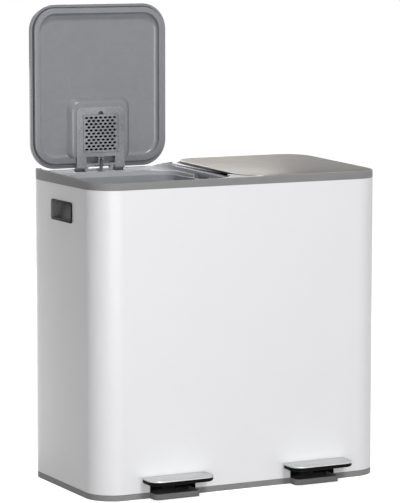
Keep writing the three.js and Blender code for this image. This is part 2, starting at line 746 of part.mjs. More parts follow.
function plateWindow(end) {
  const inner = end * (WEB_WIDTH / 2);
  const outer = end * (PLATE_WIDTH / 2 - KNUCKLE_WIDTH);
  return block(Math.min(inner, outer), Math.max(inner, outer), -WINDOW_END, -WINDOW_START, -FAR, FAR);
}

// A knuckle turns on the hinge pin and carries the plate's end.
function knuckle(end) {
  const outer = end * (PLATE_WIDTH / 2);
  const inner = end * (PLATE_WIDTH / 2 - KNUCKLE_WIDTH);
  const x0 = Math.min(inner, outer);
  const x1 = Math.max(inner, outer);
  const heel = KNUCKLE_HEEL;
  const root = profileX(
    [
      [-WINDOW_END, PLATE_FACE],
      [heel - 2.5, PLATE_FACE],
      [heel, PLATE_FACE + 2.5],
      [heel, -3],
      [KNUCKLE_RADIUS, 0],
      [-KNUCKLE_RADIUS, 0],
      [-WINDOW_END, -5],
    ],
    x0,
    x1,
  );
  return join(root, barX(x0, x1, 0, 0, KNUCKLE_RADIUS));
}

// A cheek beside the rod's slot, which holds one end of the lift pin.
function liftCheek(end) {
  const inner = end * (LIFT_SLOT / 2);
  const outer = end * (WEB_WIDTH / 2);
  const reach = LIFT_PIN / 2 + 1.5;
  return block(
    Math.min(inner, outer),
    Math.max(inner, outer),
    -WINDOW_END,
    -LIFT_PIN_FORWARD + reach,
    PLATE_FACE,
    -LIFT_PIN_BELOW + reach,
  );
}

function filterCover(name) {
  const half = FILTER_WIDTH / 2 - FIT;
  const shape = plate(-half, half, -FILTER_END + FIT, -FILTER_START - FIT, FILTER_CORNER - FIT);
  for (let row = 0; row < SLOT_ROWS; row += 1) {
    const count = SLOT_COLUMNS - (row % 2);
    const y = -SLOT_FIRST - row * SLOT_PITCH_Y;
    for (let column = 0; column < count; column += 1) {
      const x = (column - (count - 1) / 2) * SLOT_PITCH_X;
      shape.holes.push(slotPath(x, y));
    }
  }
  return piece(name, prism(shape, PLATE_FACE, PLATE_FACE + FILTER_COVER, 4), greyPlastic());
}

function slotPath(x, y) {
  const path = new THREE.Path();
  const w = SLOT_LENGTH / 2;
  const h = SLOT_HEIGHT / 2;
  path.moveTo(x - w, y);
  path.lineTo(x, y + h);
  path.lineTo(x + w, y);
  path.lineTo(x, y - h);
  path.closePath();
  return path;
}

function filterPad(name) {
  const inset = FILTER_LEDGE + FIT;
  const half = FILTER_WIDTH / 2 - inset;
  const low = PLATE_FACE + FILTER_COVER + FIT;
  const shape = plate(-half, half, -FILTER_END + inset, -FILTER_START - inset, 3);
  return piece(name, prism(shape, low, low + PAD_FILTER_DEPTH, 3), carbonFelt());
}

function liftPin(name) {
  const half = WEB_WIDTH / 2;
  const body = barX(-half, half, -LIFT_PIN_FORWARD, -LIFT_PIN_BELOW, LIFT_PIN / 2, 16);
  return piece(name, body, brightSteel());
}

function hingePin(name) {
  const half = PLATE_WIDTH / 2 - 0.5;
  return piece(name, barX(-half, half, 0, 0, HINGE_PIN / 2, 16), zincSteel());
}

// One lid with all it carries, at its place, turned by an angle that is 0 when it lies flat.
function lid(label, side, lift) {
  const group = new THREE.Group();
  group.position.set(side * LID_CENTRE, AXIS_Y, AXIS_Z);
  group.rotation.x = lift;
  group.add(
    lidCover(`${label}_lid_cover`),
    lidLiner(`${label}_lid_liner`),
    hingePlate(`${label}_hinge_plate`),
    filterCover(`${label}_filter_cover`),
    filterPad(`${label}_filter_pad`),
    liftPin(`${label}_lift_pin`),
  );
  return group;
}

// ---- Buckets ---------------------------------------------------------------------------------

const bucketOutline = (side, inset) => {
  const x = side * BUCKET_X;
  const w = BUCKET_WIDTH / 2 - inset;
  const d = BUCKET_DEPTH / 2 - inset;
  return plate(x - w, x + w, BUCKET_Y - d, BUCKET_Y + d, OPENING_CORNER - BUCKET_GAP - inset);
};

function bucket(name, side) {
  const x = side * BUCKET_X;
  const foot = BUCKET_REST + FIT;
  const inset = BUCKET_RIM_WIDTH + BUCKET_WALL;
  const low = foot + BUCKET_WALL;
  const outline = bucketOutline(side, BUCKET_RIM_WIDTH);
  const outside = tapered(outline, foot, BUCKET_TOP, BUCKET_TAPER, x, BUCKET_Y);
  const inside = tapered(bucketOutline(side, inset), low, BUCKET_TOP + 1, BUCKET_TAPER, x, BUCKET_Y);
  const rim = softPrism(bucketOutline(side, 0), BUCKET_TOP - BUCKET_RIM_HEIGHT, BUCKET_TOP, 1);
  const mouth = prism(bucketOutline(side, inset), BUCKET_TOP - 20, FAR);
  return piece(name, cut(join(outside, rim), inside, mouth), bucketPlastic());
}

// ---- Pedals, levers and rods -----------------------------------------------------------------

const pedalOutline = (x, inset) => {
  const w = PEDAL_WIDTH / 2 - inset;
  const d = PEDAL_DEPTH / 2 - inset;
  return plate(x - w, x + w, PEDAL_Y - d, PEDAL_Y + d, PEDAL_CORNER - inset, PEDAL_BACK_CORNER - inset);
};

function pedalTread(name, side) {
  const x = side * PEDAL_CENTRE;
  const body = softPrism(pedalOutline(x, 0), PEDAL_TOP - TREAD_THICKNESS, PEDAL_TOP, 0.6, 6);
  return piece(name, body, brightSteel());
}

function pedalBody(name, side) {
  const x = side * PEDAL_CENTRE;
  const body = softPrism(pedalOutline(x, 1), PEDAL_BOTTOM, PEDAL_BOTTOM + PEDAL_BODY, 1.5, 6);
  return piece(name, body, blackPlastic());
}

function pedalHousing(name, side) {
  const x = side * PEDAL_CENTRE;
  const half = WELL_WIDTH / 2 - FIT;
  const back = FRONT + HOUSING_DEPTH;
  const low = TRIM_HEIGHT + FIT;
  const box = block(x - half, x + half, FRONT, back, low, HOUSING_TOP);
  const room = block(
    x - half + HOUSING_WALL,
    x + half - HOUSING_WALL,
    FRONT - 1,
    back - HOUSING_WALL,
    0,
    HOUSING_TOP - HOUSING_WALL,
  );
  const slot = LEVER_SLOT / 2;
  const pass = block(x - slot, x + slot, FRONT - 1, back + 1, 0, HOUSING_TOP - HOUSING_WALL);
  return piece(name, cut(box, room, pass), blackPlastic());
}

// A flat steel bar from the pedal to the push rod, with a barrel on the pivot shaft.
function pedalLever(name, side) {
  const x = side * PEDAL_CENTRE;
  const t = LEVER_THICKNESS / 2;
  const front = FRONT - WELL_REACH + WELL_WALL + LEVER_FRONT_GAP;
  const rear = ROD_Y + ROD_RADIUS + 5;
  const bar = profileX(
    [
      [front, LEVER_FRONT_Z - t],
      [LEVER_BEND_FRONT, LEVER_FRONT_Z - t],
      [LEVER_BEND_BACK, LEVER_REAR_Z - t],
      [rear, LEVER_REAR_Z - t],
      [rear, LEVER_REAR_Z + t],
      [LEVER_BEND_BACK, LEVER_REAR_Z + t],
      [LEVER_BEND_FRONT, LEVER_FRONT_Z + t],
      [front, LEVER_FRONT_Z + t],
    ],
    x - LEVER_WIDTH / 2,
    x + LEVER_WIDTH / 2,
  );
  const half = SHAFT_LENGTH / 2 - SADDLE_WIDTH - 2;
  const barrel = barX(x - half, x + half, LEVER_PIVOT_Y, SHAFT_Z, BARREL_RADIUS);
  const bore = barX(x - half - 1, x + half + 1, LEVER_PIVOT_Y, SHAFT_Z, SHAFT_RADIUS + FIT);
  return piece(name, cut(join(bar, barrel), bore), blackSteel());
}

function pivotShaft(name, side) {
  const x = side * PEDAL_CENTRE;
  const half = SHAFT_LENGTH / 2;
  return piece(name, barX(x - half, x + half, LEVER_PIVOT_Y, SHAFT_Z, SHAFT_RADIUS), zincSteel());
}

function pushRod(name, side, lift) {
  const x = side * LID_CENTRE;
  const half = ROD_HEAD_WIDTH / 2;
  const rod = barZ(x, ROD_Y, ROD_FOOT + lift, ROD_TOP - ROD_HEAD_HEIGHT + 1 + lift, ROD_RADIUS, 16);
  const head = block(
    x - half,
    x + half,
    ROD_Y - ROD_HEAD_DEPTH / 2,
    ROD_Y + ROD_HEAD_DEPTH / 2,
    ROD_TOP - ROD_HEAD_HEIGHT + lift,
    ROD_TOP + lift,
  );
  return piece(name, join(rod, head), brightSteel());
}

// A guide stands on the inside of the shell's back wall and runs round the rod.
function rodGuide(name, side, z) {
  const x = side * LID_CENTRE;
  const half = GUIDE_WIDTH / 2;
  const body = block(x - half, x + half, ROD_Y - half, SHELL_INSIDE - FIT, z, z + GUIDE_HEIGHT);
  const bore = barZ(x, ROD_Y, z - 1, z + GUIDE_HEIGHT + 1, ROD_RADIUS + FIT, 16);
  return piece(name, cut(body, bore), darkPlastic());
}

// ---- The whole bin ---------------------------------------------------------------------------

const bin = new THREE.Group();
bin.add(bodyShell(), backPanel(), topCollar(), dividerBar(), baseTray(), ...footPads());

for (const [label, side] of SIDES) {
  const open = label === 'left';
  bin.add(
    gripCup(`${label}_grip_cup`, side),
    lid(label, side, open ? -OPEN_ANGLE : SLOPE),
    bucket(`${label}_bucket`, side),
    pedalTread(`${label}_pedal_tread`, side),
    pedalBody(`${label}_pedal_body`, side),
    pedalHousing(`${label}_pedal_housing`, side),
    pedalLever(`${label}_pedal_lever`, side),
    pivotShaft(`${label}_pivot_shaft`, side),
    pushRod(`${label}_push_rod`, side, open ? LIFT_TRAVEL : 0),
    rodGuide(`${label}_rod_guide_low`, side, GUIDE_LOW),
    rodGuide(`${label}_rod_guide_high`, side, SHELL_TOP - GUIDE_BELOW_SHELL),
  );
  const pin = hingePin(`${label}_hinge_pin`);
  pin.position.set(side * LID_CENTRE, AXIS_Y, AXIS_Z);
  bin.add(pin);
}

export default bin;
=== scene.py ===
import logging
import math
from dataclasses import dataclass
from enum import Enum
from typing import Callable, Iterable, Sequence

import bmesh
import bpy
from mathutils import Matrix, Vector


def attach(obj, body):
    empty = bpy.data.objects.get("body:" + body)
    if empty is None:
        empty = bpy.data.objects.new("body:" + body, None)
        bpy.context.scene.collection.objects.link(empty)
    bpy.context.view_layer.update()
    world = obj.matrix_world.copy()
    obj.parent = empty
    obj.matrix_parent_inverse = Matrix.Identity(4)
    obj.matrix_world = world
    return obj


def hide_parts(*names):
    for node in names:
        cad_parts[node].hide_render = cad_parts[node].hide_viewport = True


LOG = logging.getLogger("recycling_bin")
MM = 0.001
ROUND_STEPS = 14  # faces in a quarter turn of an outline
FINE_STEPS = 28  # the same where it shows most
FAR = 900.0  # mm, longer than any piece
DEEP = 60.0  # mm, past both faces of a lid
NEAR = 1e-3  # mm, within which heights count as one
QUARTER = math.pi / 2
SHARP_ANGLE = math.radians(32)  # edges beyond this are shaded sharp
BEVEL_ANGLE = math.radians(38)  # edges beyond this are rounded
WHITE = (1.0, 1.0, 1.0, 1.0)

Mesh = bmesh.types.BMesh
Socket = bpy.types.NodeSocket
Tree = bpy.types.NodeTree
Numbers = Sequence[float]
Pair = tuple[float, float]
Triple = tuple[float, float, float]

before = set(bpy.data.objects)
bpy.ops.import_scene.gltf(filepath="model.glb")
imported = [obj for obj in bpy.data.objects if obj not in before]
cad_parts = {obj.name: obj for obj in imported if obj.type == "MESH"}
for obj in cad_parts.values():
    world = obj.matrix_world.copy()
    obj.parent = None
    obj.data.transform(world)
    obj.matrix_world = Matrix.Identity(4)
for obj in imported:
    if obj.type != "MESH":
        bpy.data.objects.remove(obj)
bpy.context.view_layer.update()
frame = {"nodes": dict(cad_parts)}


class Side(Enum):
    """The two halves of the bin, with the sign of their X."""

    LEFT = -1
    RIGHT = 1

    @property
    def word(self) -> str:
        """The half's name, as it stands in the names of the nodes."""
        return self.name.lower()


class Body(Enum):
    """The bodies that don't belong to a lid."""

    BIN = "bin_body"
    LEFT_DOOR = "left_filter_door"
    LEFT_BUCKET = "left_bucket_body"


@dataclass(frozen=True)
class Layout:
    """Sizes in millimetres that more than one sub-assembly needs, as in the part."""

    width: float = 650.0
    depth: float = 345.0
    front: float = -172.5
    back: float = 172.5
    corner: float = 60.0
    shell_top: float = 620.0
    trim: float = 12.0
    fit: float = 0.3
    axis_y: float = 168.0
    axis_z: float = 638.8875
    lid_x: float = 162.5
    slope: float = math.atan(0.025)
    lid_top: float = 6.0
    lid_width: float = 309.0
    lid_depth: float = 339.0
    lid_corner: float = 54.0
    lid_back: float = 4.0
    rim_bottom: float = -1.5
    ring_face: float = -8.4
    panel_face: float = 2.7
    liner_top: float = 4.9
    plate_face: float = -10.9
    pedal_x: float = 160.0
    bucket_x: float = 140.5
    bucket_y: float = -9.0
    rod_y: float = 157.0
    grip_y: float = -5.5
    grip_z: float = 567.0
    sleeve: float = 1.1

    def outline(self, inset: float, low: float, high: float, steps: int = ROUND_STEPS) -> Mesh:
        """A slab of the body's outline, drawn in by an inset."""
        return slab(self.width - 2 * inset, self.depth - 2 * inset, self.corner - inset, low, high,
                    steps=steps)

    def lid_frame(self, side: Side, closed: bool = False) -> Matrix:
        """The matrix from a lid's own frame to the bin's.

        Args:
            side: which lid.
            closed: whether it is taken as closed, which the collar's cuts follow.

        Returns:
            The place of the hinge axis, turned by the lid's angle.
        """
        turn = -QUARTER if side is Side.LEFT and not closed else self.slope
        place = Matrix.Translation((side.value * self.lid_x, self.axis_y, self.axis_z))
        return place @ Matrix.Rotation(turn, 4, "X")

    def bucket_centre(self, side: Side) -> Pair:
        """The middle of a bucket in X and Y."""
        return (side.value * self.bucket_x, self.bucket_y)

    def grip_frame(self, side: Side) -> Matrix:
        """The frame of a grip, whose Z points out of that side of the bin."""
        turn = Matrix.Rotation(side.value * QUARTER, 4, "Z") @ Matrix.Rotation(QUARTER, 4, "X")
        return Matrix.Translation((side.value * self.width / 2, self.grip_y, self.grip_z)) @ turn


LAYOUT = Layout()


# ---- Finishes ----


def linear(code: str) -> tuple[float, float, float, float]:
    """An sRGB hex colour as linear RGBA.

    Args:
        code: six hex digits after a hash.

    Returns:
        The colour as the shader takes it.
    """
    parts = [int(code[i : i + 2], 16) / 255 for i in (1, 3, 5)]
    flat = [p / 12.92 if p <= 0.04045 else ((p + 0.055) / 1.055) ** 2.4 for p in parts]
    return (flat[0], flat[1], flat[2], 1.0)


def feed(target: bpy.types.Node, values: dict) -> None:
    """Sets or links a node's inputs.

    Args:
        target: the node.
        values: input names or numbers, with a value or an output socket to link from.
    """
    for key, value in values.items():
        if isinstance(value, Socket):
            target.id_data.links.new(value, target.inputs[key])
        else:
            target.inputs[key].default_value = value


def node(tree: Tree, kind: str, values: dict | None = None, **settings) -> bpy.types.Node:
    """Adds a node, sets it and links it.

    Args:
        tree: the node tree.
        kind: the node's type.
        values: what to feed its inputs.
        **settings: properties of the node itself.

    Returns:
        The new node.
    """
    made = tree.nodes.new(kind)
    for key, value in settings.items():
        setattr(made, key, value)
    feed(made, values or {})
    return made


@dataclass(frozen=True)
class Finish:
    """A surface with a base colour, a fine grain and slow clouds.

    The grain is its width and its height, and the clouds' width too is in millimetres.
    """

    name: str
    colour: str
    roughness: float
    metallic: float = 0.0
    ior: float = 1.5
    grain: Pair = (0.8, 0.02)
    stretch: Triple = (1.0, 1.0, 1.0)
    shade: float = 0.04
    gloss: float = 0.05
    cloud: float = 60.0
    specular: float = 0.5
    edge_tint: float = 1.0

    def build(self) -> bpy.types.Material:
        """Makes the material, or finds it if it was made before.

        Returns:
            The material.
        """
        found = bpy.data.materials.get(self.name)
        if found:
            return found
        material = bpy.data.materials.new(self.name)
        material.use_nodes = True
        tree = material.node_tree
        place = node(tree, "ShaderNodeTexCoord").outputs["Object"]
        scaled = node(tree, "ShaderNodeMapping", {"Vector": place, "Scale": self.stretch})
        fine = self.noise(tree, scaled.outputs["Vector"], self.grain[0], 3.0)
        cloud = self.noise(tree, place, self.cloud, 2.0)
        both = node(tree, "ShaderNodeMath", {0: cloud, 1: fine}, operation="ADD").outputs[0]
        spread = node(tree, "ShaderNodeMapRange",
                      {"Value": both, "From Min": 0.7, "From Max": 1.3,
                       "To Min": self.roughness - self.gloss,
                       "To Max": self.roughness + self.gloss})
        bump = node(tree, "ShaderNodeBump",
                    {"Height": fine, "Distance": self.grain[1] * MM, "Strength": 0.6})
        shader = tree.nodes["Principled BSDF"]
        feed(shader, {
            "Base Color": self.shaded(tree, both), "Metallic": self.metallic,
            "Roughness": spread.outputs["Result"], "Specular IOR Level": self.specular,
            "Specular Tint": (*[self.edge_tint] * 3, 1.0), "Normal": bump.outputs["Normal"],
        })
        if not self.metallic:
            shader.inputs["IOR"].default_value = self.ior
        return material

    def noise(self, tree: Tree, place: Socket, width: float, detail: float) -> Socket:
        """A noise whose cells have a width in millimetres."""
        values = {"Vector": place, "Scale": 1 / (width * MM), "Detail": detail}
        return node(tree, "ShaderNodeTexNoise", values).outputs["Fac"]

    def shaded(self, tree: Tree, both: Socket) -> Socket:
        """The colour, varied a little by both noises as moulding, rolling or painting does."""
        base = linear(self.colour)[:3]
        half = node(tree, "ShaderNodeMath", {0: both, 1: 0.5}, operation="MULTIPLY")
        ramp = node(tree, "ShaderNodeValToRGB", {"Fac": half.outputs[0]})
        for stop, position, sign in zip(ramp.color_ramp.elements, (0.35, 0.65), (-1, 1)):
            stop.position = position
            stop.color = (*(min(1.0, c * (1 + sign * self.shade)) for c in base), 1.0)
        return ramp.outputs["Color"]


class Finishes:
    """Every finish of the bin, named for what it really is."""

    # Epoxy-polyester powder baked on steel sheet: an even satin white with a faint orange peel.
    powder = Finish("powder_coated_steel_white", "#ECECEE", 0.36, grain=(1.6, 0.012), shade=0.006,
                    gloss=0.03, cloud=120)
    # Injection-moulded ABS from a polished mould: neutral grey, soft but clear highlights.
    abs_grey = Finish("moulded_abs_grey", "#87888D", 0.27, ior=1.53, grain=(0.9, 0.012), shade=0.02,
                      gloss=0.04)
    # The same, spark-eroded. The grain is drawn at twice its size, so that its sparkle shows.
    abs_eroded = Finish("spark_eroded_abs_grey", "#909195", 0.42, ior=1.53, grain=(2.4, 0.3),
                        shade=0.3, gloss=0.08)
    # Light grey ABS of the collar's inside: partly the moulding's own lighter grey, partly painted
    # light that stands in for the light from above on the ledge. It also goes on the up-facing
    # faces below the band's top.
    abs_light_and_painted_light = Finish("moulded_abs_light_grey", "#C4C5C9", 0.34, ior=1.53, grain=(0.9, 0.015),
                       shade=0.02, gloss=0.04)
    # Grey paint with a fine metallic flake over ABS: satin, darker where it faces away.
    band_grey = Finish("metallic_painted_abs_grey", "#8C8C8C", 0.4, grain=(1.1, 0.01),
                       stretch=(0.25, 0.25, 1.0), shade=0.04, gloss=0.05, specular=0.12)
    # Glass-filled polypropylene, moulded with a matte grain: dark grey. On a grip cup it covers the
    # pocket's inside, lighter than the black frame as painted light falling into the pocket.
    pp_dark_and_painted_light = Finish("moulded_pp_dark_grey", "#78787A", 0.48, grain=(0.9, 0.03), shade=0.08,
                     gloss=0.07)
    # The same in black, for the frames, cores and housings.
    pp_black = Finish("moulded_pp_black", "#0D0D0E", 0.42, grain=(0.9, 0.03), shade=0.12,
                      gloss=0.08, specular=0.05)
    # Polypropylene bucket: a satin mould finish with slight flow clouds.
    pp_bucket = Finish("moulded_pp_bucket_grey", "#ACAEB2", 0.38, grain=(1.2, 0.02), shade=0.04,
                       gloss=0.06, cloud=45)
    # Stainless sheet with a fine lengthwise brush, under a fingerprint coat: warm and satin.
    lid_steel = Finish("brushed_stainless_steel_lid", "#94908B", 0.34, metallic=1.0,
                       grain=(0.7, 0.012), stretch=(0.02, 1.0, 1.0), shade=0.05, gloss=0.06,
                       edge_tint=0.45)
    # Stainless pressing of the treads, brushed across the foot.
    tread_steel = Finish("brushed_stainless_steel_tread", "#C4C6C6", 0.3, metallic=1.0,
                         grain=(0.6, 0.012), stretch=(0.03, 1.0, 1.0), shade=0.05, gloss=0.06)
    # Drawn steel with bright zinc: cool, slightly clouded.
    zinc = Finish("bright_zinc_plated_steel", "#C9CCD0", 0.26, metallic=1.0, grain=(1.5, 0.02),
                  shade=0.08, gloss=0.08, cloud=15)
    # Oiled drawn steel of the rods and lift pins: dark, with sharp lights.
    oiled = Finish("oiled_drawn_steel", "#85878B", 0.2, metallic=1.0, grain=(1.5, 0.02), shade=0.1,
                   gloss=0.06, cloud=12)
    # Black electrophoretic coat on the pressed steel levers.
    e_coat = Finish("black_e_coated_steel", "#1A1A1B", 0.42, grain=(1.4, 0.02), shade=0.1,
                    gloss=0.06)
    # Moulded thermoplastic rubber of the pads.
    rubber = Finish("moulded_tpe_rubber_black", "#222223", 0.78, grain=(0.8, 0.04), shade=0.12)
    # Needled felt with activated carbon: black and fibrous, with no gloss.
    felt = Finish("carbon_felt_black", "#0C0C0D", 0.95, ior=1.45, grain=(1.0, 0.3), shade=0.35,
                  specular=0.05)


# ---- Modelling ----


def add_object(name: str, data: bpy.types.ID) -> bpy.types.Object:
    """Puts new data into the scene as an object."""
    item = bpy.data.objects.new(name, data)
    bpy.context.scene.collection.objects.link(item)
    return item


def mesh_object(name: str, mesh: Mesh) -> bpy.types.Object:
    """Turns a bmesh into an object of the scene, and frees it."""
    data = bpy.data.meshes.new(name)
    mesh.to_mesh(data)
    mesh.free()
    return add_object(name, data)


def extrude(mesh: Mesh, run: Numbers) -> None:
    """Draws a mesh's faces out into a closed solid."""
    raised = bmesh.ops.extrude_face_region(mesh, geom=mesh.faces[:])
    end = [e for e in raised["geom"] if isinstance(e, bmesh.types.BMVert)]
    bmesh.ops.translate(mesh, vec=run, verts=end)
    bmesh.ops.recalc_face_normals(mesh, faces=mesh.faces[:])


def slab(width: float, depth: float, corner: float, low: float, high: float,
         centre: Numbers = (0.0, 0.0), steps: int = ROUND_STEPS,
         back_corner: float | None = None) -> Mesh:
    """A plate with round corners.

    Args:
        width: size along X.
        depth: size along Y.
        corner: radius of its corners.
        low: Z of its underside.
        high: Z of its top.
        centre: its middle in X and Y.
        steps: faces in each corner.
        back_corner: radius of the two corners at the back, if it differs.

    Returns:
        The closed mesh, in millimetres.
    """
    mesh = bmesh.new()
    bmesh.ops.create_grid(mesh, x_segments=1, y_segments=1, size=0.5)
    bmesh.ops.scale(mesh, vec=(width, depth, 1), verts=mesh.verts[:])
    front = [v for v in mesh.verts if v.co.y < 0]
    back = [v for v in mesh.verts if v.co.y > 0]
    radius_back = corner if back_corner is None else back_corner
    for radius, corners in ((corner, front), (radius_back, back)):
        bmesh.ops.bevel(mesh, geom=corners, offset=radius, offset_type="OFFSET", segments=steps,
                        profile=0.5, affect="VERTICES", material=-1, clamp_overlap=False)
    bmesh.ops.remove_doubles(mesh, verts=mesh.verts[:], dist=1e-4)
    extrude(mesh, (0, 0, high - low))
    bmesh.ops.translate(mesh, vec=(*centre, low), verts=mesh.verts[:])
    return mesh


def block(start: Numbers, end: Numbers) -> Mesh:
    """A box between two opposite corners, to cut or join with."""
    mesh = bmesh.new()
    bmesh.ops.create_cube(mesh, size=1)
    size = [abs(b - a) for a, b in zip(start, end)]
    middle = [(a + b) / 2 for a, b in zip(start, end)]
    bmesh.ops.scale(mesh, vec=size, verts=mesh.verts[:])
    bmesh.ops.translate(mesh, vec=middle, verts=mesh.verts[:])
    return mesh


def bar(radius: float, start: Numbers, end: Numbers, sides: int = 32) -> Mesh:
    """A round bar between two points.

    Args:
        radius: its radius.
        start: the middle of one end.
        end: the middle of the other end.
        sides: faces round it.

    Returns:
        The closed mesh, in millimetres.
    """
    run = Vector(end) - Vector(start)
    mesh = bmesh.new()
    bmesh.ops.create_cone(mesh, cap_ends=True, segments=sides, radius1=radius, radius2=radius,
                          depth=run.length)
    turn = Vector((0, 0, 1)).rotation_difference(run).to_matrix().to_4x4()
    place = Matrix.Translation((Vector(start) + Vector(end)) / 2) @ turn
    bmesh.ops.transform(mesh, matrix=place, verts=mesh.verts[:])
    return mesh


def prism_x(points: Sequence[Numbers], low: float, high: float) -> Mesh:
    """A section in Y and Z, drawn along X.

    Args:
        points: the section's corners, as (y, z).
        low: X of one end.
        high: X of the other end.

    Returns:
        The closed mesh, in millimetres.
    """
    mesh = bmesh.new()
    mesh.faces.new([mesh.verts.new((low, y, z)) for y, z in points])
    extrude(mesh, (high - low, 0, 0))
    return mesh


def shrink_end(mesh: Mesh, z: float, share: Numbers, about: Numbers) -> None:
    """Scales the corners at one height about a point, which tapers a slab.

    Args:
        mesh: the slab.
        z: the height of the end to scale.
        share: the scale along X and Y.
        about: the fixed point in X and Y.
    """
    ends = [v for v in mesh.verts if abs(v.co.z - z) < NEAR]
    shift = Matrix.Translation((-about[0], -about[1], 0))
    bmesh.ops.scale(mesh, vec=(*share, 1), verts=ends, space=shift)


def soften(mesh: Mesh, where: float | Callable, radius: float, steps: int = 4) -> None:
    """Rounds the sharp edges that lie at one height, or the edges that a test picks.

    Args:
        mesh: the mesh.
        where: the height, or the test of an edge.
        radius: the radius of the round.
        steps: faces across it.
    """

    def level(edge: bmesh.types.BMEdge) -> bool:
        """Whether both ends are at the height and the edge is sharp."""
        flat = all(abs(v.co.z - where) < NEAR for v in edge.verts)
        return flat and len(edge.link_faces) == 2 and edge.calc_face_angle(0) > 0.6

    edges = [e for e in mesh.edges if (where(e) if callable(where) else level(e))]
    bmesh.ops.bevel(mesh, geom=edges, offset=radius, offset_type="OFFSET", segments=steps,
                    profile=0.5, affect="EDGES", material=-1, clamp_overlap=True)


class Solid:
    """A shape in the making: a mesh in millimetres that others are cut from or joined to."""

    def __init__(self, mesh: Mesh, place: Matrix | None = None) -> None:
        """Takes over a bmesh.

        Args:
            mesh: the shape, which this frees.
            place: where to put it, if not where it is.
        """
        if place is not None:
            bmesh.ops.transform(mesh, matrix=place, verts=mesh.verts[:])
        self.object = mesh_object("work", mesh)

    def combine(self, others: Iterable["Solid | Mesh"], operation: str) -> "Solid":
        """Applies booleans in turn, and deletes the other shapes.

        Args:
            others: the shapes to combine with, as solids or as meshes.
            operation: UNION or DIFFERENCE.

        Returns:
            This shape.
        """
        for other in others:
            if isinstance(other, Mesh):
                other = Solid(other)
            change = self.object.modifiers.new("shape", "BOOLEAN")
            change.operation = operation
            change.solver = "EXACT"
            change.object = other.object
            graph = bpy.context.evaluated_depsgraph_get()
            result = bpy.data.meshes.new_from_object(self.object.evaluated_get(graph))
            self.object.modifiers.clear()
            old = self.object.data
            self.object.data = result
            bpy.data.meshes.remove(old)
            other.discard()
        return self

    def discard(self) -> None:
        """Deletes the shape."""
        data = self.object.data
        bpy.data.objects.remove(self.object)
        bpy.data.meshes.remove(data)

    def cut(self, *others: "Solid | Mesh") -> "Solid":
        """Takes the other shapes away from this one."""
        return self.combine(others, "DIFFERENCE")

    def join(self, *others: "Solid | Mesh") -> "Solid":
        """Adds the other shapes to this one."""
        return self.combine(others, "UNION")

    def piece(self, name: str, body: str, finish: Finish, replaced: Sequence[str], slot: str,
              edge: float = 0.4, place: Matrix | None = None) -> bpy.types.Object:
        """Turns the shape into a finished piece of the model.

        Args:
            name: the piece's name.
            body: the body it rides on.
            finish: its surface.
            replaced: the CAD nodes that it stands for.
            slot: the record's material slot; not used.
            edge: radius of its small edge rounds, in millimetres, or 0.
            place: from the shape's own frame to the bin's, if they differ.

        Returns:
            The piece.
        """
        item, data = self.object, self.object.data
        item.name = data.name = name
        data.transform(Matrix.Scale(MM, 4) @ (place or Matrix.Identity(4)))
        data.materials.clear()
        data.materials.append(finish.build())
        data.shade_smooth()
        data.set_sharp_from_angle(angle=SHARP_ANGLE)
        if edge:
            rounding = item.modifiers.new("edges", "BEVEL")
            rounding.width = edge * MM
            rounding.segments = 2
            rounding.limit_method = "ANGLE"
            rounding.angle_limit = BEVEL_ANGLE
            rounding.harden_normals = True
        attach(item, body)
        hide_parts(*replaced)
        LOG.info("%s on %s, for %s", name, body, ", ".join(replaced))
        return item


def repaint(item: bpy.types.Object, finish: Finish, chosen: Callable) -> None:
    """Gives some faces of a piece a second finish.

    Args:
        item: the piece.
        finish: the second finish.
        chosen: a test of a face's corners in millimetres and its normal.
    """
    item.data.materials.append(finish.build())
    for face in item.data.polygons:
        corners = [item.data.vertices[i].co / MM for i in face.vertices]
        if chosen(corners, face.normal):
            face.material_index = 1


# ---- Sub-assemblies ----


@dataclass
class Shell:
    """The painted steel tube, with its cut-outs for the pedals and the grips."""

    wall: float = 0.8
    pedal_opening: Pair = (102.0, 42.3)
    opening_corner: float = 5.0
    grip: Pair = (96.6, 37.6)
    seam_x: float = 261.15
    seam: Pair = (0.7, 0.5)

    def build(self) -> None:
        """Makes the shell."""
        shell = Solid(LAYOUT.outline(0, LAYOUT.trim + LAYOUT.fit, LAYOUT.shell_top, FINE_STEPS))
        shell.cut(LAYOUT.outline(self.wall, -50, FAR, FINE_STEPS))
        for side in Side:
            shell.cut(self.pedal_cut(side), self.grip_cut(side), self.seam_cut(side))
        shell.piece("painted_shell", Body.BIN.value, Finishes.powder,
                    ["body_shell", "back_panel"], "white_paint", edge=0.25)

    def seam_cut(self, side: Side) -> Mesh:
        """The fine line where the back panel is welded to the wrap."""
        width, deep = self.seam
        x = side.value * self.seam_x
        return block((x - width / 2, LAYOUT.back - deep, -10), (x + width / 2, FAR, FAR))

    def pedal_cut(self, side: Side) -> Solid:
        """The opening that a pedal's housing stands in, with round upper corners."""
        wide, top = self.pedal_opening
        mesh = slab(wide, 2 * top, self.opening_corner, -8, 8)
        turn = Matrix.Rotation(QUARTER, 4, "X")
        place = Matrix.Translation((side.value * LAYOUT.pedal_x, LAYOUT.front, 0)) @ turn
        return Solid(mesh, place)

    def grip_cut(self, side: Side) -> Solid:
        """The hole that a grip cup stands in."""
        return Solid(slab(*self.grip, 4, -8, 8), LAYOUT.grip_frame(side))


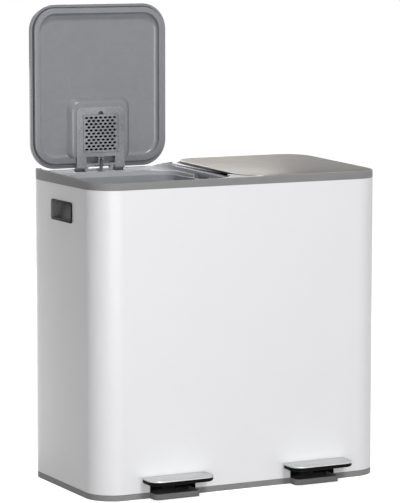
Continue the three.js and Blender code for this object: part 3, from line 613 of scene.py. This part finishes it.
@dataclass
class GripCup:
    """The moulded pocket in a side of the bin."""

    width: float = 101.0
    height: float = 42.0
    frame: float = 4.5
    proud: float = 1.8
    depth: float = 24.0
    ramp: float = 12.0
    wall: float = 2.0

    def build(self, side: Side) -> None:
        """Makes the cup of one side.

        Args:
            side: which side.
        """
        flange = slab(self.width, self.height, 6, 0.3, self.proud, steps=8)
        soften(flange, self.proud, 0.9, 3)
        inner = (self.width - 2 * self.frame, self.height - 2 * self.frame)
        cup = Solid(flange)
        cup.join(slab(inner[0] + 2 * self.wall, inner[1] + 2 * self.wall, 6,
                      -self.depth - self.wall, self.proud - 0.6, steps=8))
        pocket = slab(*inner, 4.5, -self.depth, 10, steps=8)
        soften(pocket, -self.depth, 3.5)
        half, low = inner[1] / 2 + 1, -self.depth - 1
        ramp = [(-half, low), (-half, -self.ramp), (half, low + 0.9), (half, low)]
        cup.cut(pocket).join(prism_x(ramp, -inner[0] / 2 - 1, inner[0] / 2 + 1))
        item = cup.piece(f"{side.word}_side_grip", Body.BIN.value, Finishes.pp_black,
                         [f"{side.word}_grip_cup"], "dark_plastic", place=LAYOUT.grip_frame(side))
        inner_x = LAYOUT.width / 2 - self.proud
        # The pocket's inside gets the lighter grey, painted light falling into the pocket; the
        # frame stays black.
        repaint(item, Finishes.pp_dark_and_painted_light,
                lambda corners, normal: any(abs(c.x) < inner_x for c in corners))


@dataclass
class Collar:
    """The moulded top frame: an outer band, two lid recesses, and the openings of the buckets."""

    skirt: float = 22.0
    wall: float = 3.0
    band_top: float = 4.5
    lid_gap: float = 1.0
    ledge: float = -11.4
    back_lip: float = -6.4
    foot_sweep: float = -13.04
    foot_back: float = 6.8
    corner_reach: float = 14.0
    cover_wall: float = 2.2
    opening: Triple = (249.0, 262.0, 42.0)
    lug: Pair = (24.3, 32.3)
    lug_radius: float = 4.5
    edge_round: float = 2.2
    strip_half: float = 9.0
    strip_drop: float = 4.0
    lip_run: Pair = (-13.0, -3.0)
    lip_half: float = 295.0
    ledge_inset: float = 5.5
    ledge_corner: float = 47.0
    knuckle_room: Triple = (32.6, 56.0, -14.0)
    rod_room: float = 16.0
    finger_low: Triple = (6.5, -45.0, 604.0)
    finger_high: Triple = (18.0, 20.0, 627.0)
    pin: float = 2.3

    def build(self) -> None:
        """Makes the collar."""
        top = self.outer()
        low = LAYOUT.shell_top - self.skirt
        top.join(LAYOUT.outline(LAYOUT.sleeve, low, LAYOUT.shell_top + 2))
        top.join(*(self.hinge_cover(side) for side in Side))
        middle = Matrix.Translation((LAYOUT.lid_x, 0, 0)) @ LAYOUT.lid_frame(Side.LEFT, closed=True)
        top.cut(*(Solid(shape, middle) for shape in self.slopes()))
        for side in Side:
            top.cut(*self.recess(LAYOUT.lid_frame(side, closed=True)))
            mouth = slab(*self.opening, -FAR / 2, FAR, LAYOUT.bucket_centre(side))
            top.cut(mouth, self.rod_slot(side), self.finger_recess(side))
        top.cut(self.hollow())
        for side in Side:
            top.join(*self.lugs(side))
        item = top.piece("top_frame", Body.BIN.value, Finishes.band_grey,
                         ["top_collar", "divider_bar"], "grey_plastic", edge=0.7)
        # The inside and the up-facing faces below the band get the lighter grey, partly painted
        # light from above.
        repaint(item, Finishes.abs_light_and_painted_light, self.is_inside_or_painted_lit)

    def slopes(self) -> list[Mesh]:
        """The cuts that lower the divider and slant the collar's back, in a closed lid's frame."""
        front = LAYOUT.lid_back - LAYOUT.lid_depth + LAYOUT.lid_corner
        half, (start, end), reach = self.strip_half, self.lip_run, self.corner_reach
        return [block((-half, front, self.band_top - self.strip_drop), (half, FAR, FAR)),
                self.behind((start, 0), (end, self.back_lip), self.lip_half),
                self.behind((-2.5 * reach, self.band_top + 0.1), (-reach, 0), FAR)]

    def behind(self, high: Pair, low: Pair, half: float) -> Mesh:
        """All that lies behind a slant between two points in Y and Z."""
        section = [high, low, (FAR, low[1]), (FAR, FAR), (high[0], FAR)]
        return prism_x(section, -half, half)

    def is_inside_or_painted_lit(self, corners: Sequence[Vector], normal: Vector) -> bool:
        """Whether a face gets the lighter grey: the unpainted inside of the collar, or an up-facing
        face below the band's top, lightened as painted light from above.
        """
        half = Vector((LAYOUT.width / 2 - LAYOUT.corner, LAYOUT.depth / 2 - LAYOUT.corner))
        depths = []
        for corner in corners:
            over = Vector((max(abs(corner.x) - half.x, 0), max(abs(corner.y) - half.y, 0)))
            depths.append(LAYOUT.corner - over.length)
        middle = sum(corners, Vector()) / len(corners)
        top = LAYOUT.axis_z + self.band_top + (middle.y - LAYOUT.axis_y) * math.tan(LAYOUT.slope)
        # Up-facing faces below the band's top are lightened too: painted light from above.
        return min(depths) > self.wall or (normal.z > 0.7 and middle.z < top - 2)

    def hinge_cover(self, side: Side) -> Mesh:
        """The wall behind the knuckles' heels, on the back of the collar."""
        x = side.value * LAYOUT.lid_x
        half = self.knuckle_room[1] + self.cover_wall
        back = LAYOUT.axis_y + self.foot_back + self.cover_wall
        return block((x - half, LAYOUT.back - 1, LAYOUT.shell_top + LAYOUT.fit),
                     (x + half, back, LAYOUT.axis_z))

    def outer(self) -> Solid:
        """The outer band, cut along the slope of the lids and rounded at its top edge."""
        mesh = LAYOUT.outline(0, LAYOUT.shell_top + LAYOUT.fit, LAYOUT.axis_z + 40, FINE_STEPS)
        up = Vector((0, -math.sin(LAYOUT.slope), math.cos(LAYOUT.slope)))
        point = Vector((0, LAYOUT.axis_y, LAYOUT.axis_z)) + up * self.band_top
        parts = mesh.verts[:] + mesh.edges[:] + mesh.faces[:]
        bmesh.ops.bisect_plane(mesh, geom=parts, plane_co=point, plane_no=up, clear_outer=True)
        rim = [e for e in mesh.edges if e.is_boundary]
        bmesh.ops.edgeloop_fill(mesh, edges=rim)
        bmesh.ops.recalc_face_normals(mesh, faces=mesh.faces[:])
        soften(mesh, lambda e: all(abs((v.co - point).dot(up)) < NEAR for v in e.verts),
               self.edge_round)
        return Solid(mesh)

    def recess(self, flat: Matrix) -> list[Solid]:
        """The room of one closed lid: for its rim, its ring and its knuckles.

        Args:
            flat: the closed lid's frame.

        Returns:
            The shapes to cut away.
        """
        grow = 2 * self.lid_gap
        rim = slab(LAYOUT.lid_width + grow, LAYOUT.lid_depth + grow,
                   LAYOUT.lid_corner + self.lid_gap, LAYOUT.rim_bottom - 0.5, FAR,
                   (0, LAYOUT.lid_back - LAYOUT.lid_depth / 2))
        front = LAYOUT.lid_back - LAYOUT.lid_depth + self.ledge_inset
        ledge = slab(LAYOUT.lid_width - 2 * self.ledge_inset, 1 - front, self.ledge_corner,
                     self.ledge, FAR, (0, (1 + front) / 2))
        soften(ledge, self.ledge, 2.5)
        near, far, start = self.knuckle_room
        rooms = [block((end * near, start, self.foot_sweep), (end * far, self.foot_back, FAR))
                 for end in (-1, 1)]
        return [Solid(shape, flat) for shape in (rim, ledge, *rooms)]

    def rod_slot(self, side: Side) -> Mesh:
        """The slot that the push rod comes up through."""
        return slab(self.rod_room, self.rod_room, 3, LAYOUT.shell_top - DEEP, LAYOUT.axis_z,
                    (side.value * LAYOUT.lid_x, LAYOUT.rod_y), steps=6)

    def finger_recess(self, side: Side) -> Mesh:
        """Room for fingers in the divider, beside the bucket's rim."""
        return block(*((side.value * x, y, z) for x, y, z in (self.finger_low, self.finger_high)))

    def hollow(self) -> Solid:
        """The space inside the collar, open from below."""
        space = Solid(LAYOUT.outline(LAYOUT.sleeve + self.wall, LAYOUT.shell_top - DEEP,
                                     LAYOUT.shell_top - 1))
        wide, deep, corner = (v + grow * self.wall for v, grow in zip(self.opening, (2, 2, 1)))
        for side in Side:
            space.cut(slab(wide, deep, corner, 0, FAR, LAYOUT.bucket_centre(side)))
        return space.cut(block((-13, -48, 0), (13, 23, FAR)))

    def lugs(self, side: Side) -> list[Solid]:
        """The two lugs that hold a lid's hinge pin."""
        made = []
        for end in (-1, 1):
            near, far = sorted(side.value * LAYOUT.lid_x + end * v for v in self.lug)
            y, z = LAYOUT.axis_y, LAYOUT.axis_z
            lug = Solid(block((near, y - 0.4, LAYOUT.shell_top + 1), (far, y + 4, z)))
            lug.join(bar(self.lug_radius, (near, y, z), (far, y, z)))
            lug.cut(bar(self.pin, (near - 1, y, z), (far + 1, y, z)))
            made.append(lug)
        return made


@dataclass
class Lid:
    """A lid: steel cover, moulded liner with its sealing ring and hump, hinge plate and filter."""

    sheet: float = 0.8
    ring: Triple = (7.0, 10.0, 11.0)
    groove: Pair = (2.2, 5.0)
    hump: Triple = (144.0, 142.0, 22.0)
    plate: Triple = (110.0, 122.0, 12.0)
    knuckle: float = 22.0
    knuckle_radius: float = 4.8
    root_front: float = -19.6
    cheek_end: Pair = (-10.5, -2.5)
    window: Pair = (-19.0, -5.0)
    web: float = 11.6
    slot: float = 6.4
    filter_size: Pair = (78.6, 78.6)
    filter_y: float = -67.0
    filter_cover_thickness: float = 1.6
    notch: Pair = (6.5, -107.0)
    slot_grid: tuple[int, int] = (11, 7)
    slot_pitch: Pair = (10.7, 6.6)
    slot_first: float = -34.0
    slot_half: Pair = (4.1, 2.5)
    overlap: float = 0.05
    notch_half: float = 56.5
    hinge_room: Pair = (-19.5, -6.8)
    window_room: Triple = (35.0, -20.5, -17.2)
    filter_room: float = 70.0
    lean: float = 9.0
    pin: float = 2.3
    lift_pin: Pair = (-14.0, -6.0)

    def build(self, side: Side) -> None:
        """Makes one lid with all it carries.

        Args:
            side: which lid.
        """
        lid = f"{side.word}_lid"
        door = Body.LEFT_DOOR.value if side is Side.LEFT else lid
        grey = "grey_plastic"
        abs_grey, eroded = Finishes.abs_grey, Finishes.abs_eroded
        for shape, name, body, finish, node_name, slot, edge in (
            (self.cover, "lid_pressing", lid, Finishes.lid_steel, "lid_cover", "lid_steel", 0.25),
            (self.liner, "lid_moulding", lid, abs_grey, "lid_liner", grey, 0.5),
            (self.hinge_plate, "filter_housing", lid, eroded, "hinge_plate", grey, 0.4),
            (self.filter_cover, "filter_grille", door, eroded, "filter_cover", grey, 0.2),
        ):
            shape().piece(f"{side.word}_{name}", body, finish, [f"{side.word}_{node_name}"], slot,
                          edge, LAYOUT.lid_frame(side))

    def outline(self, inset: float, low: float, high: float,
                inset_back: float | None = None) -> Mesh:
        """A slab of the lid's outline, drawn in by an inset.

        Args:
            inset: how far in.
            low: its lower Z.
            high: its upper Z.
            inset_back: the inset on the hinge side, if it differs.

        Returns:
            The slab.
        """
        back = LAYOUT.lid_back - (inset if inset_back is None else inset_back)
        front = LAYOUT.lid_back - LAYOUT.lid_depth + inset
        return slab(LAYOUT.lid_width - 2 * inset, back - front, LAYOUT.lid_corner - inset, low,
                    high, (0, (back + front) / 2), steps=20)

    def cover(self) -> Solid:
        """The steel pressing, with a turned-down edge and a notch for the hinge."""
        outside = self.outline(0, LAYOUT.rim_bottom, LAYOUT.lid_top)
        soften(outside, LAYOUT.lid_top, 1.6)
        under, half = LAYOUT.lid_top - self.sheet, self.notch_half
        return Solid(outside).cut(self.outline(self.sheet, LAYOUT.rim_bottom - 5, under),
                                  block((-half, 0, -30), (half, 30, under)))

    def liner(self) -> Solid:
        """The moulding inside the cover, seen when the lid is open."""
        near, back, width = self.ring
        wide, deep = self.groove
        ring = self.outline(near, LAYOUT.ring_face, LAYOUT.liner_top, back)
        soften(ring, LAYOUT.ring_face, 2.2)
        recess = self.outline(near + width, -DEEP, LAYOUT.panel_face, back + width)
        soften(recess, LAYOUT.panel_face, 8.5, 8)
        rim = Solid(self.outline(self.sheet + LAYOUT.fit, LAYOUT.rim_bottom, LAYOUT.liner_top))
        rim.cut(self.outline(near - wide, LAYOUT.rim_bottom - 5, LAYOUT.rim_bottom + deep,
                             back - wide))
        rim.join(ring).cut(recess).join(self.hump_shape())
        half, (end, start, stop) = self.notch_half, self.window_room
        return rim.cut(
            block((-half, self.hinge_room[0], -DEEP), (half, 40, LAYOUT.panel_face)),
            block((-half, self.hinge_room[1], -DEEP), (half, 40, DEEP)),
            block((-end, start, -DEEP), (end, stop, DEEP)),
            slab(self.filter_room, self.filter_room, 3, -DEEP, DEEP, (0, self.filter_y)),
            self.notch_cut(LAYOUT.panel_face),
        )

    def notch_cut(self, high: float) -> Mesh:
        """The disc that cuts the finger notch at the filter cover's end."""
        radius, y = self.notch
        return bar(radius, (0, y, -DEEP), (0, y, high))

    def hump_shape(self) -> Mesh:
        """The raised part of the liner round the filter, with slanting sides."""
        width, length, corner = self.hump
        low = LAYOUT.ring_face - 0.03
        back = -7.0
        depth = length + back
        mesh = slab(width, depth, corner, low, LAYOUT.panel_face + 0.5, (0, back - depth / 2),
                    steps=10)
        shrink_end(mesh, low, (1 - 2 * self.lean / width, 1 - self.lean / depth), (0, back))
        soften(mesh, low, 3.0)
        return mesh

    def hinge_plate(self) -> Solid:
        """The plate that holds the filter, with its knuckles on the hinge pin."""
        width, length, corner = self.plate
        back = LAYOUT.plate_face + 2.2
        face = slab(width, length - 1 + corner, corner, LAYOUT.plate_face, back,
                    (0, (-1 - length + corner) / 2), steps=8)
        soften(face, LAYOUT.plate_face, 1.7)
        plate = Solid(face)
        plate.cut(block((-FAR, -1, -DEEP), (FAR, FAR, DEEP)),
                  slab(80, 80, 4, -DEEP, DEEP, (0, self.filter_y), steps=5),
                  self.notch_cut(DEEP))
        for end in (-1, 1):
            plate.join(*self.knuckle_shape(end), self.cheek(end))
        for end in (-1, 1):
            plate.cut(self.window_cut(end))
        half = self.slot / 2
        return plate.cut(
            block((-half, -18, -DEEP), (half, FAR, DEEP)),
            bar(self.pin, (-FAR, 0, 0), (FAR, 0, 0), 24),
            bar(self.pin, (-12, *self.lift_pin), (12, *self.lift_pin), 24),
        )

    def window_cut(self, end: int) -> Mesh:
        """One of the two windows beside the lift slot."""
        reach = self.plate[0] / 2 - self.knuckle + self.overlap
        start, stop = self.window
        return block((end * self.web / 2, start, -DEEP), (end * reach, stop, DEEP))

    def knuckle_shape(self, end: int) -> list[Mesh]:
        """A knuckle and the root that carries it."""
        half = self.plate[0] / 2
        near, far = sorted((end * (half - self.knuckle), end * (half - self.overlap)))
        face = LAYOUT.plate_face + self.overlap
        section = [(self.root_front, face), (3.5, face), (6, face + 2.5), (6, -3), (4.6, 0),
                   (-4.6, 0), (self.root_front, -5)]
        return [prism_x(section, near, far),
                bar(self.knuckle_radius, (near + 0.04, 0, 0), (far - 0.04, 0, 0))]

    def cheek(self, end: int) -> Mesh:
        """A cheek beside the slot, which holds one end of the lift pin."""
        near, far = end * (self.slot / 2 - 0.5), end * (self.web / 2 + 0.5)
        low = LAYOUT.plate_face + self.overlap
        return block((near, self.root_front, low), (far, *self.cheek_end))

    def filter_cover(self) -> Solid:
        """The slotted cover over the filter."""
        face = LAYOUT.plate_face
        return Solid(slab(*self.filter_size, 3.7, face, face + self.filter_cover_thickness,
                          (0, self.filter_y), steps=5)).cut(self.slots())

    def slots(self) -> Mesh:
        """All the slots of the filter cover, as shapes to cut away."""
        mesh = bmesh.new()
        size = Matrix.Diagonal((*self.slot_half, 10, 1))
        rows, columns = self.slot_grid
        for row in range(rows):
            count = columns - row % 2
            y = self.slot_first - row * self.slot_pitch[1]
            for column in range(count):
                x = (column - (count - 1) / 2) * self.slot_pitch[0]
                place = Matrix.Translation((x, y, LAYOUT.plate_face)) @ size
                bmesh.ops.create_cone(mesh, cap_ends=True, segments=10, radius1=1, radius2=1,
                                      depth=1, matrix=place)
        return mesh


@dataclass
class Bucket:
    """A lift-out bucket with a rolled rim."""

    width: float = 245.0
    depth: float = 258.0
    corner: float = 40.0
    rim: float = 4.5
    rim_height: float = 5.0
    wall: float = 2.0
    top: float = 619.5
    foot: float = 50.3
    taper: float = 0.95

    def build(self, side: Side) -> None:
        """Makes one bucket.

        Args:
            side: which bucket.
        """
        centre = LAYOUT.bucket_centre(side)
        outside = self.tapered(self.rim, self.foot, self.top, centre)
        soften(outside, self.foot, 8, 5)
        rim = slab(self.width, self.depth, self.corner, self.top - self.rim_height, self.top,
                   centre)
        soften(rim, self.top, 2.0)
        inside = self.tapered(self.rim + self.wall, self.foot + self.wall, self.top + 1, centre)
        soften(inside, self.foot + self.wall, 6)
        body = Body.LEFT_BUCKET.value if side is Side.LEFT else Body.BIN.value
        Solid(outside).join(rim).cut(inside).piece(
            f"{side.word}_inner_bucket", body, Finishes.pp_bucket, [f"{side.word}_bucket"],
            "bucket_plastic", edge=0.8)

    def tapered(self, inset: float, low: float, high: float, centre: Numbers) -> Mesh:
        """A slab of the bucket's outline that narrows to its foot."""
        mesh = slab(self.width - 2 * inset, self.depth - 2 * inset, self.corner - inset, low, high,
                    centre)
        shrink_end(mesh, low, (self.taper, self.taper), centre)
        return mesh


@dataclass
class Pedal:
    """A pedal: steel tread over a moulded body, and the housing in the shell; its lever stays the
    CAD node.
    """

    width: float = 145.0
    depth: float = 56.0
    corner: float = 26.0
    back_corner: float = 10.0
    y: float = -202.5
    top: float = 44.5
    tread: float = 2.4
    core: float = 7.2
    housing_top: float = 42.0
    housing_depth: float = 22.0
    housing_half: float = 50.7
    housing_wall: float = 2.0
    lever_half: float = 16.0

    def build(self, side: Side) -> None:
        """Makes one pedal and its housing.

        Args:
            side: which pedal.
        """
        x = side.value * LAYOUT.pedal_x
        body = f"{side.word}_pedal"
        under = self.top - self.tread
        tread = self.outline(x, 0, under, self.top)
        soften(tread, self.top, 1.1)
        soften(tread, under, 0.4, 2)
        Solid(tread).piece(f"{body}_steel_cap", body, Finishes.tread_steel, [f"{body}_tread"],
                           "tread_steel", edge=0.0)
        high = under - LAYOUT.fit
        core = self.outline(x, 1.0, high - self.core, high)
        soften(core, high - self.core, 2.0, 5)
        soften(core, high, 0.5, 2)
        Solid(core).piece(f"{body}_core", body, Finishes.pp_black, [f"{body}_body"],
                          "black_plastic", edge=0.0)
        self.housing(side, x)

    def outline(self, x: float, inset: float, low: float, high: float) -> Mesh:
        """A slab of the pedal's outline, drawn in by an inset."""
        return slab(self.width - 2 * inset, self.depth - 2 * inset, self.corner - inset, low, high,
                    (x, self.y), back_corner=self.back_corner - inset)

    def housing(self, side: Side, x: float) -> None:
        """Makes the dark box that closes the shell's opening behind the pedal."""
        front, back = LAYOUT.front, LAYOUT.front + self.housing_depth
        low = LAYOUT.trim + LAYOUT.fit
        half, lever, wall = self.housing_half, self.lever_half, self.housing_wall
        tall = 2 * (self.housing_top - low)
        turn = Matrix.Translation((x, front, low)) @ Matrix.Rotation(QUARTER, 4, "X")
        box = Solid(slab(2 * half, tall, 5, -self.housing_depth, 0), turn).cut(
            Solid(slab(2 * (half - wall), tall - 2 * wall, 4, wall - self.housing_depth, 10), turn),
            block((x - DEEP, front - 20, -80), (x + DEEP, back + 20, low)),
            block((x - lever, front - 1, 0), (x + lever, back + 1, self.housing_top - 2)),
        )
        box.piece(f"{side.word}_pedal_recess", Body.BIN.value, Finishes.pp_black,
                  [f"{side.word}_pedal_housing"], "black_plastic")


@dataclass
class Base:
    """The moulded base with its trim band and the two wells."""

    upstand: float = 38.0
    wall: float = 3.0
    plate: float = 3.0
    well: float = 102.0
    reach: float = 26.0
    well_corner: float = 11.0
    rib: Triple = (80.0, 112.0, 50.0)
    saddle: Pair = (21.0, 28.0)
    pad_place: Pair = (283.0, 130.5)
    pad_room: Pair = (11.3, 2.0)

    def build(self) -> None:
        """Makes the base."""
        trim = LAYOUT.outline(0, 0, LAYOUT.trim, FINE_STEPS)
        soften(trim, LAYOUT.trim, 1.0, 3)
        base = Solid(trim).join(LAYOUT.outline(LAYOUT.sleeve, 1, self.upstand))
        base.cut(LAYOUT.outline(LAYOUT.sleeve + self.wall, self.plate, FAR))
        for side in Side:
            self.add_well(base, side.value * LAYOUT.pedal_x)
            self.add_supports(base, side)
        radius, deep = self.pad_room
        x, y = self.pad_place
        for place in ((-x, -y), (-x, y), (x, -y), (x, y)):
            base.cut(bar(radius, (*place, -5), (*place, deep)))
        base.piece("moulded_base", Body.BIN.value, Finishes.band_grey, ["base_tray"],
                   "grey_plastic")

    def add_well(self, base: Solid, x: float) -> None:
        """Adds the low well in front of a pedal."""
        front = LAYOUT.front - self.reach
        depth = self.reach + 30
        half = self.well / 2
        well = slab(self.well, depth, self.well_corner, 0, LAYOUT.trim, (x, front + depth / 2))
        soften(well, LAYOUT.trim, 1.2, 3)
        inside = slab(self.well - 6, depth + 10, self.well_corner - 3, self.plate, FAR,
                      (x, front + 3 + (depth + 10) / 2))
        base.join(well).cut(inside, block((x - half, LAYOUT.front - 1, LAYOUT.trim),
                                          (x + half, LAYOUT.front + 30, FAR)))

    def add_supports(self, base: Solid, side: Side) -> None:
        """Adds the ribs under a bucket and the saddles of a pivot shaft."""
        run, reach, top = self.rib
        for end in (-1, 1):
            x, y = side.value * LAYOUT.bucket_x + end * run, LAYOUT.bucket_y
            base.join(block((x - 2, y - reach, 2), (x + 2, y + reach, top)))
            near, far = sorted(side.value * LAYOUT.pedal_x + end * v for v in self.saddle)
            lug = Solid(prism_x([(-23, 2), (3, 2), (-2, 28), (-18, 28)], near, far))
            base.join(lug.cut(bar(4.3, (near - 1, -10, 20), (far + 1, -10, 20))))


@dataclass
class Fittings:
    """The CAD nodes whose shape is right, which only get a finish."""

    def dress(self) -> None:
        """Gives each such node its material."""
        wanted = {
            Finishes.zinc: ["pivot_shaft", "hinge_pin"],
            Finishes.oiled: ["lift_pin", "push_rod"],
            Finishes.e_coat: ["pedal_lever"],
            Finishes.pp_dark_and_painted_light: ["rod_guide_low", "rod_guide_high"],
            Finishes.felt: ["filter_pad"],
        }
        for finish, names in wanted.items():
            for name in names:
                for side in Side:
                    self.paint(f"{side.word}_{name}", finish)
        for place in ("front_left", "front_right", "back_left", "back_right"):
            self.paint(f"foot_pad_{place}", Finishes.rubber)

    def paint(self, name: str, finish: Finish) -> None:
        """Puts a finish on a CAD node."""
        item = frame["nodes"][name]
        for place in item.material_slots:
            place.material = finish.build()
        LOG.info("%s dressed as %s", name, finish.name)


def aim(item: bpy.types.Object, place: Numbers, target: Numbers) -> None:
    """Stands a lamp or the camera at a place and points it at a target."""
    item.location = place
    item.rotation_euler = (Vector(target) - Vector(place)).to_track_quat("-Z", "Y").to_euler()


@dataclass(frozen=True)
class Lamp:
    """A soft area lamp, in metres and watts."""

    name: str
    place: Triple
    target: Triple
    size: Pair
    power: float

    def build(self) -> None:
        """Adds the lamp to the scene."""
        data = bpy.data.lights.new(self.name, "AREA")
        data.shape = "RECTANGLE"
        data.size, data.size_y = self.size
        data.energy = self.power
        aim(add_object(self.name, data), self.place, self.target)


@dataclass
class Studio:
    """The floor, the lights and the camera at the photograph's place."""

    camera_place: Triple = (-2.5566, -4.9982, 1.1537)
    camera_target: Triple = (-0.011, 0.0, 0.467)
    lens: float = 195.8
    world_light: float = 0.02
    floor_light: float = 0.55
    floor_glow: Pair = (0.86, 1.0)
    glow_reach: Pair = (0.5, 1.8)
    lamps: tuple[Lamp, ...] = (
        Lamp("front_softbox", (-0.9, -3.4, 0.6), (0, 0, 0.4), (2.4, 1.1), 38),
        Lamp("high_softbox", (-0.5, -4.0, 6.5), (0, 0, 0.5), (2.0, 1.4), 300),
        Lamp("left_softbox", (-1.6, -2.6, 0.9), (-0.1, 0, 0.4), (0.5, 0.9), 8.5),
        Lamp("right_front_softbox", (1.6, -3.0, 1.6), (0, 0, 0.4), (1.8, 1.8), 5),
        Lamp("left_strip", (-0.38, 0.36, 0.36), (-0.325, 0.0, 0.36), (0.08, 0.95), 0.45),
        Lamp("lid_softbox", (0.35, 1.1, 1.06), (0.1, 0, 0.64), (0.8, 0.16), 2.5),
        Lamp("back_softbox", (0.4, 3.2, 1.9), (0, 0, 0.4), (1.2, 1.6), 45),
        Lamp("right_softbox", (3.2, 0.9, 1.4), (0, 0, 0.4), (1.4, 1.8), 6),
    )

    def build(self) -> None:
        """Makes the whole stage."""
        self.camera()
        self.floor()
        self.world()
        for lamp in self.lamps:
            lamp.build()
        bpy.context.scene.view_settings.view_transform = "Standard"

    def camera(self) -> None:
        """Sets the camera where the photograph was taken from."""
        data = bpy.data.cameras.new("photo_camera")
        data.lens = self.lens
        data.sensor_width = 36
        data.clip_end = 100
        item = add_object("photo_camera", data)
        aim(item, self.camera_place, self.camera_target)
        bpy.context.scene.camera = item

    def floor(self) -> None:
        """Makes the pale floor, which keeps the shadow."""
        mesh = bmesh.new()
        bmesh.ops.create_grid(mesh, x_segments=1, y_segments=1, size=12)
        item = mesh_object("studio_floor", mesh)
        material = bpy.data.materials.new("matte_white_floor")
        material.use_nodes = True
        tree = material.node_tree
        tree.nodes.clear()
        matte = node(tree, "ShaderNodeBsdfDiffuse", {"Color": (*[self.floor_light] * 3, 1)})
        place = node(tree, "ShaderNodeTexCoord").outputs["Object"]
        reach = node(tree, "ShaderNodeVectorMath", {0: place}, operation="LENGTH")
        near, far = self.glow_reach
        low, high = self.floor_glow
        rise = node(tree, "ShaderNodeMapRange",
                    {"Value": reach.outputs["Value"], "From Min": near, "From Max": far,
                     "To Min": low, "To Max": high}, interpolation_type="SMOOTHSTEP")
        glow = node(tree, "ShaderNodeEmission", {"Color": WHITE, "Strength": rise.outputs[0]})
        lit = node(tree, "ShaderNodeAddShader", {0: matte.outputs[0], 1: glow.outputs[0]})
        seen = self.direct_rays(tree)
        mix = node(tree, "ShaderNodeMixShader", {0: seen, 1: matte.outputs[0], 2: lit.outputs[0]})
        node(tree, "ShaderNodeOutputMaterial", {"Surface": mix.outputs[0]})
        item.data.materials.append(material)

    def direct_rays(self, tree: Tree) -> Socket:
        """Whether the ray comes from the camera, a mirror or a glass.

        Args:
            tree: the node tree.

        Returns:
            A socket that is 1 for such a ray.
        """
        path = node(tree, "ShaderNodeLightPath")
        seen = path.outputs["Is Camera Ray"]
        for kind in ("Is Glossy Ray", "Is Transmission Ray"):
            seen = node(tree, "ShaderNodeMath", {0: seen, 1: path.outputs[kind]},
                        operation="MAXIMUM").outputs[0]
        return seen

    def world(self) -> None:
        """Makes a white background that lights the object only softly."""
        world = bpy.data.worlds.new("studio_world")
        world.use_nodes = True
        tree = world.node_tree
        tree.nodes.clear()
        seen = self.direct_rays(tree)
        dim, white = (node(tree, "ShaderNodeBackground", {"Color": WHITE, "Strength": strength})
                      for strength in (self.world_light, 1.0))
        mix = node(tree, "ShaderNodeMixShader", {0: seen, 1: dim.outputs[0], 2: white.outputs[0]})
        node(tree, "ShaderNodeOutputWorld", {"Surface": mix.outputs[0]})
        bpy.context.scene.world = world


def main() -> None:
    """Builds the stage and the bin's sub-assemblies in order."""
    logging.basicConfig(level=logging.INFO, format="%(name)s: %(message)s")
    Studio().build()
    Shell().build()
    Collar().build()
    Base().build()
    for side in Side:
        GripCup().build(side)
        Lid().build(side)
        Bucket().build(side)
        Pedal().build(side)
    Fittings().dress()


if __name__ == "__main__":
    main()
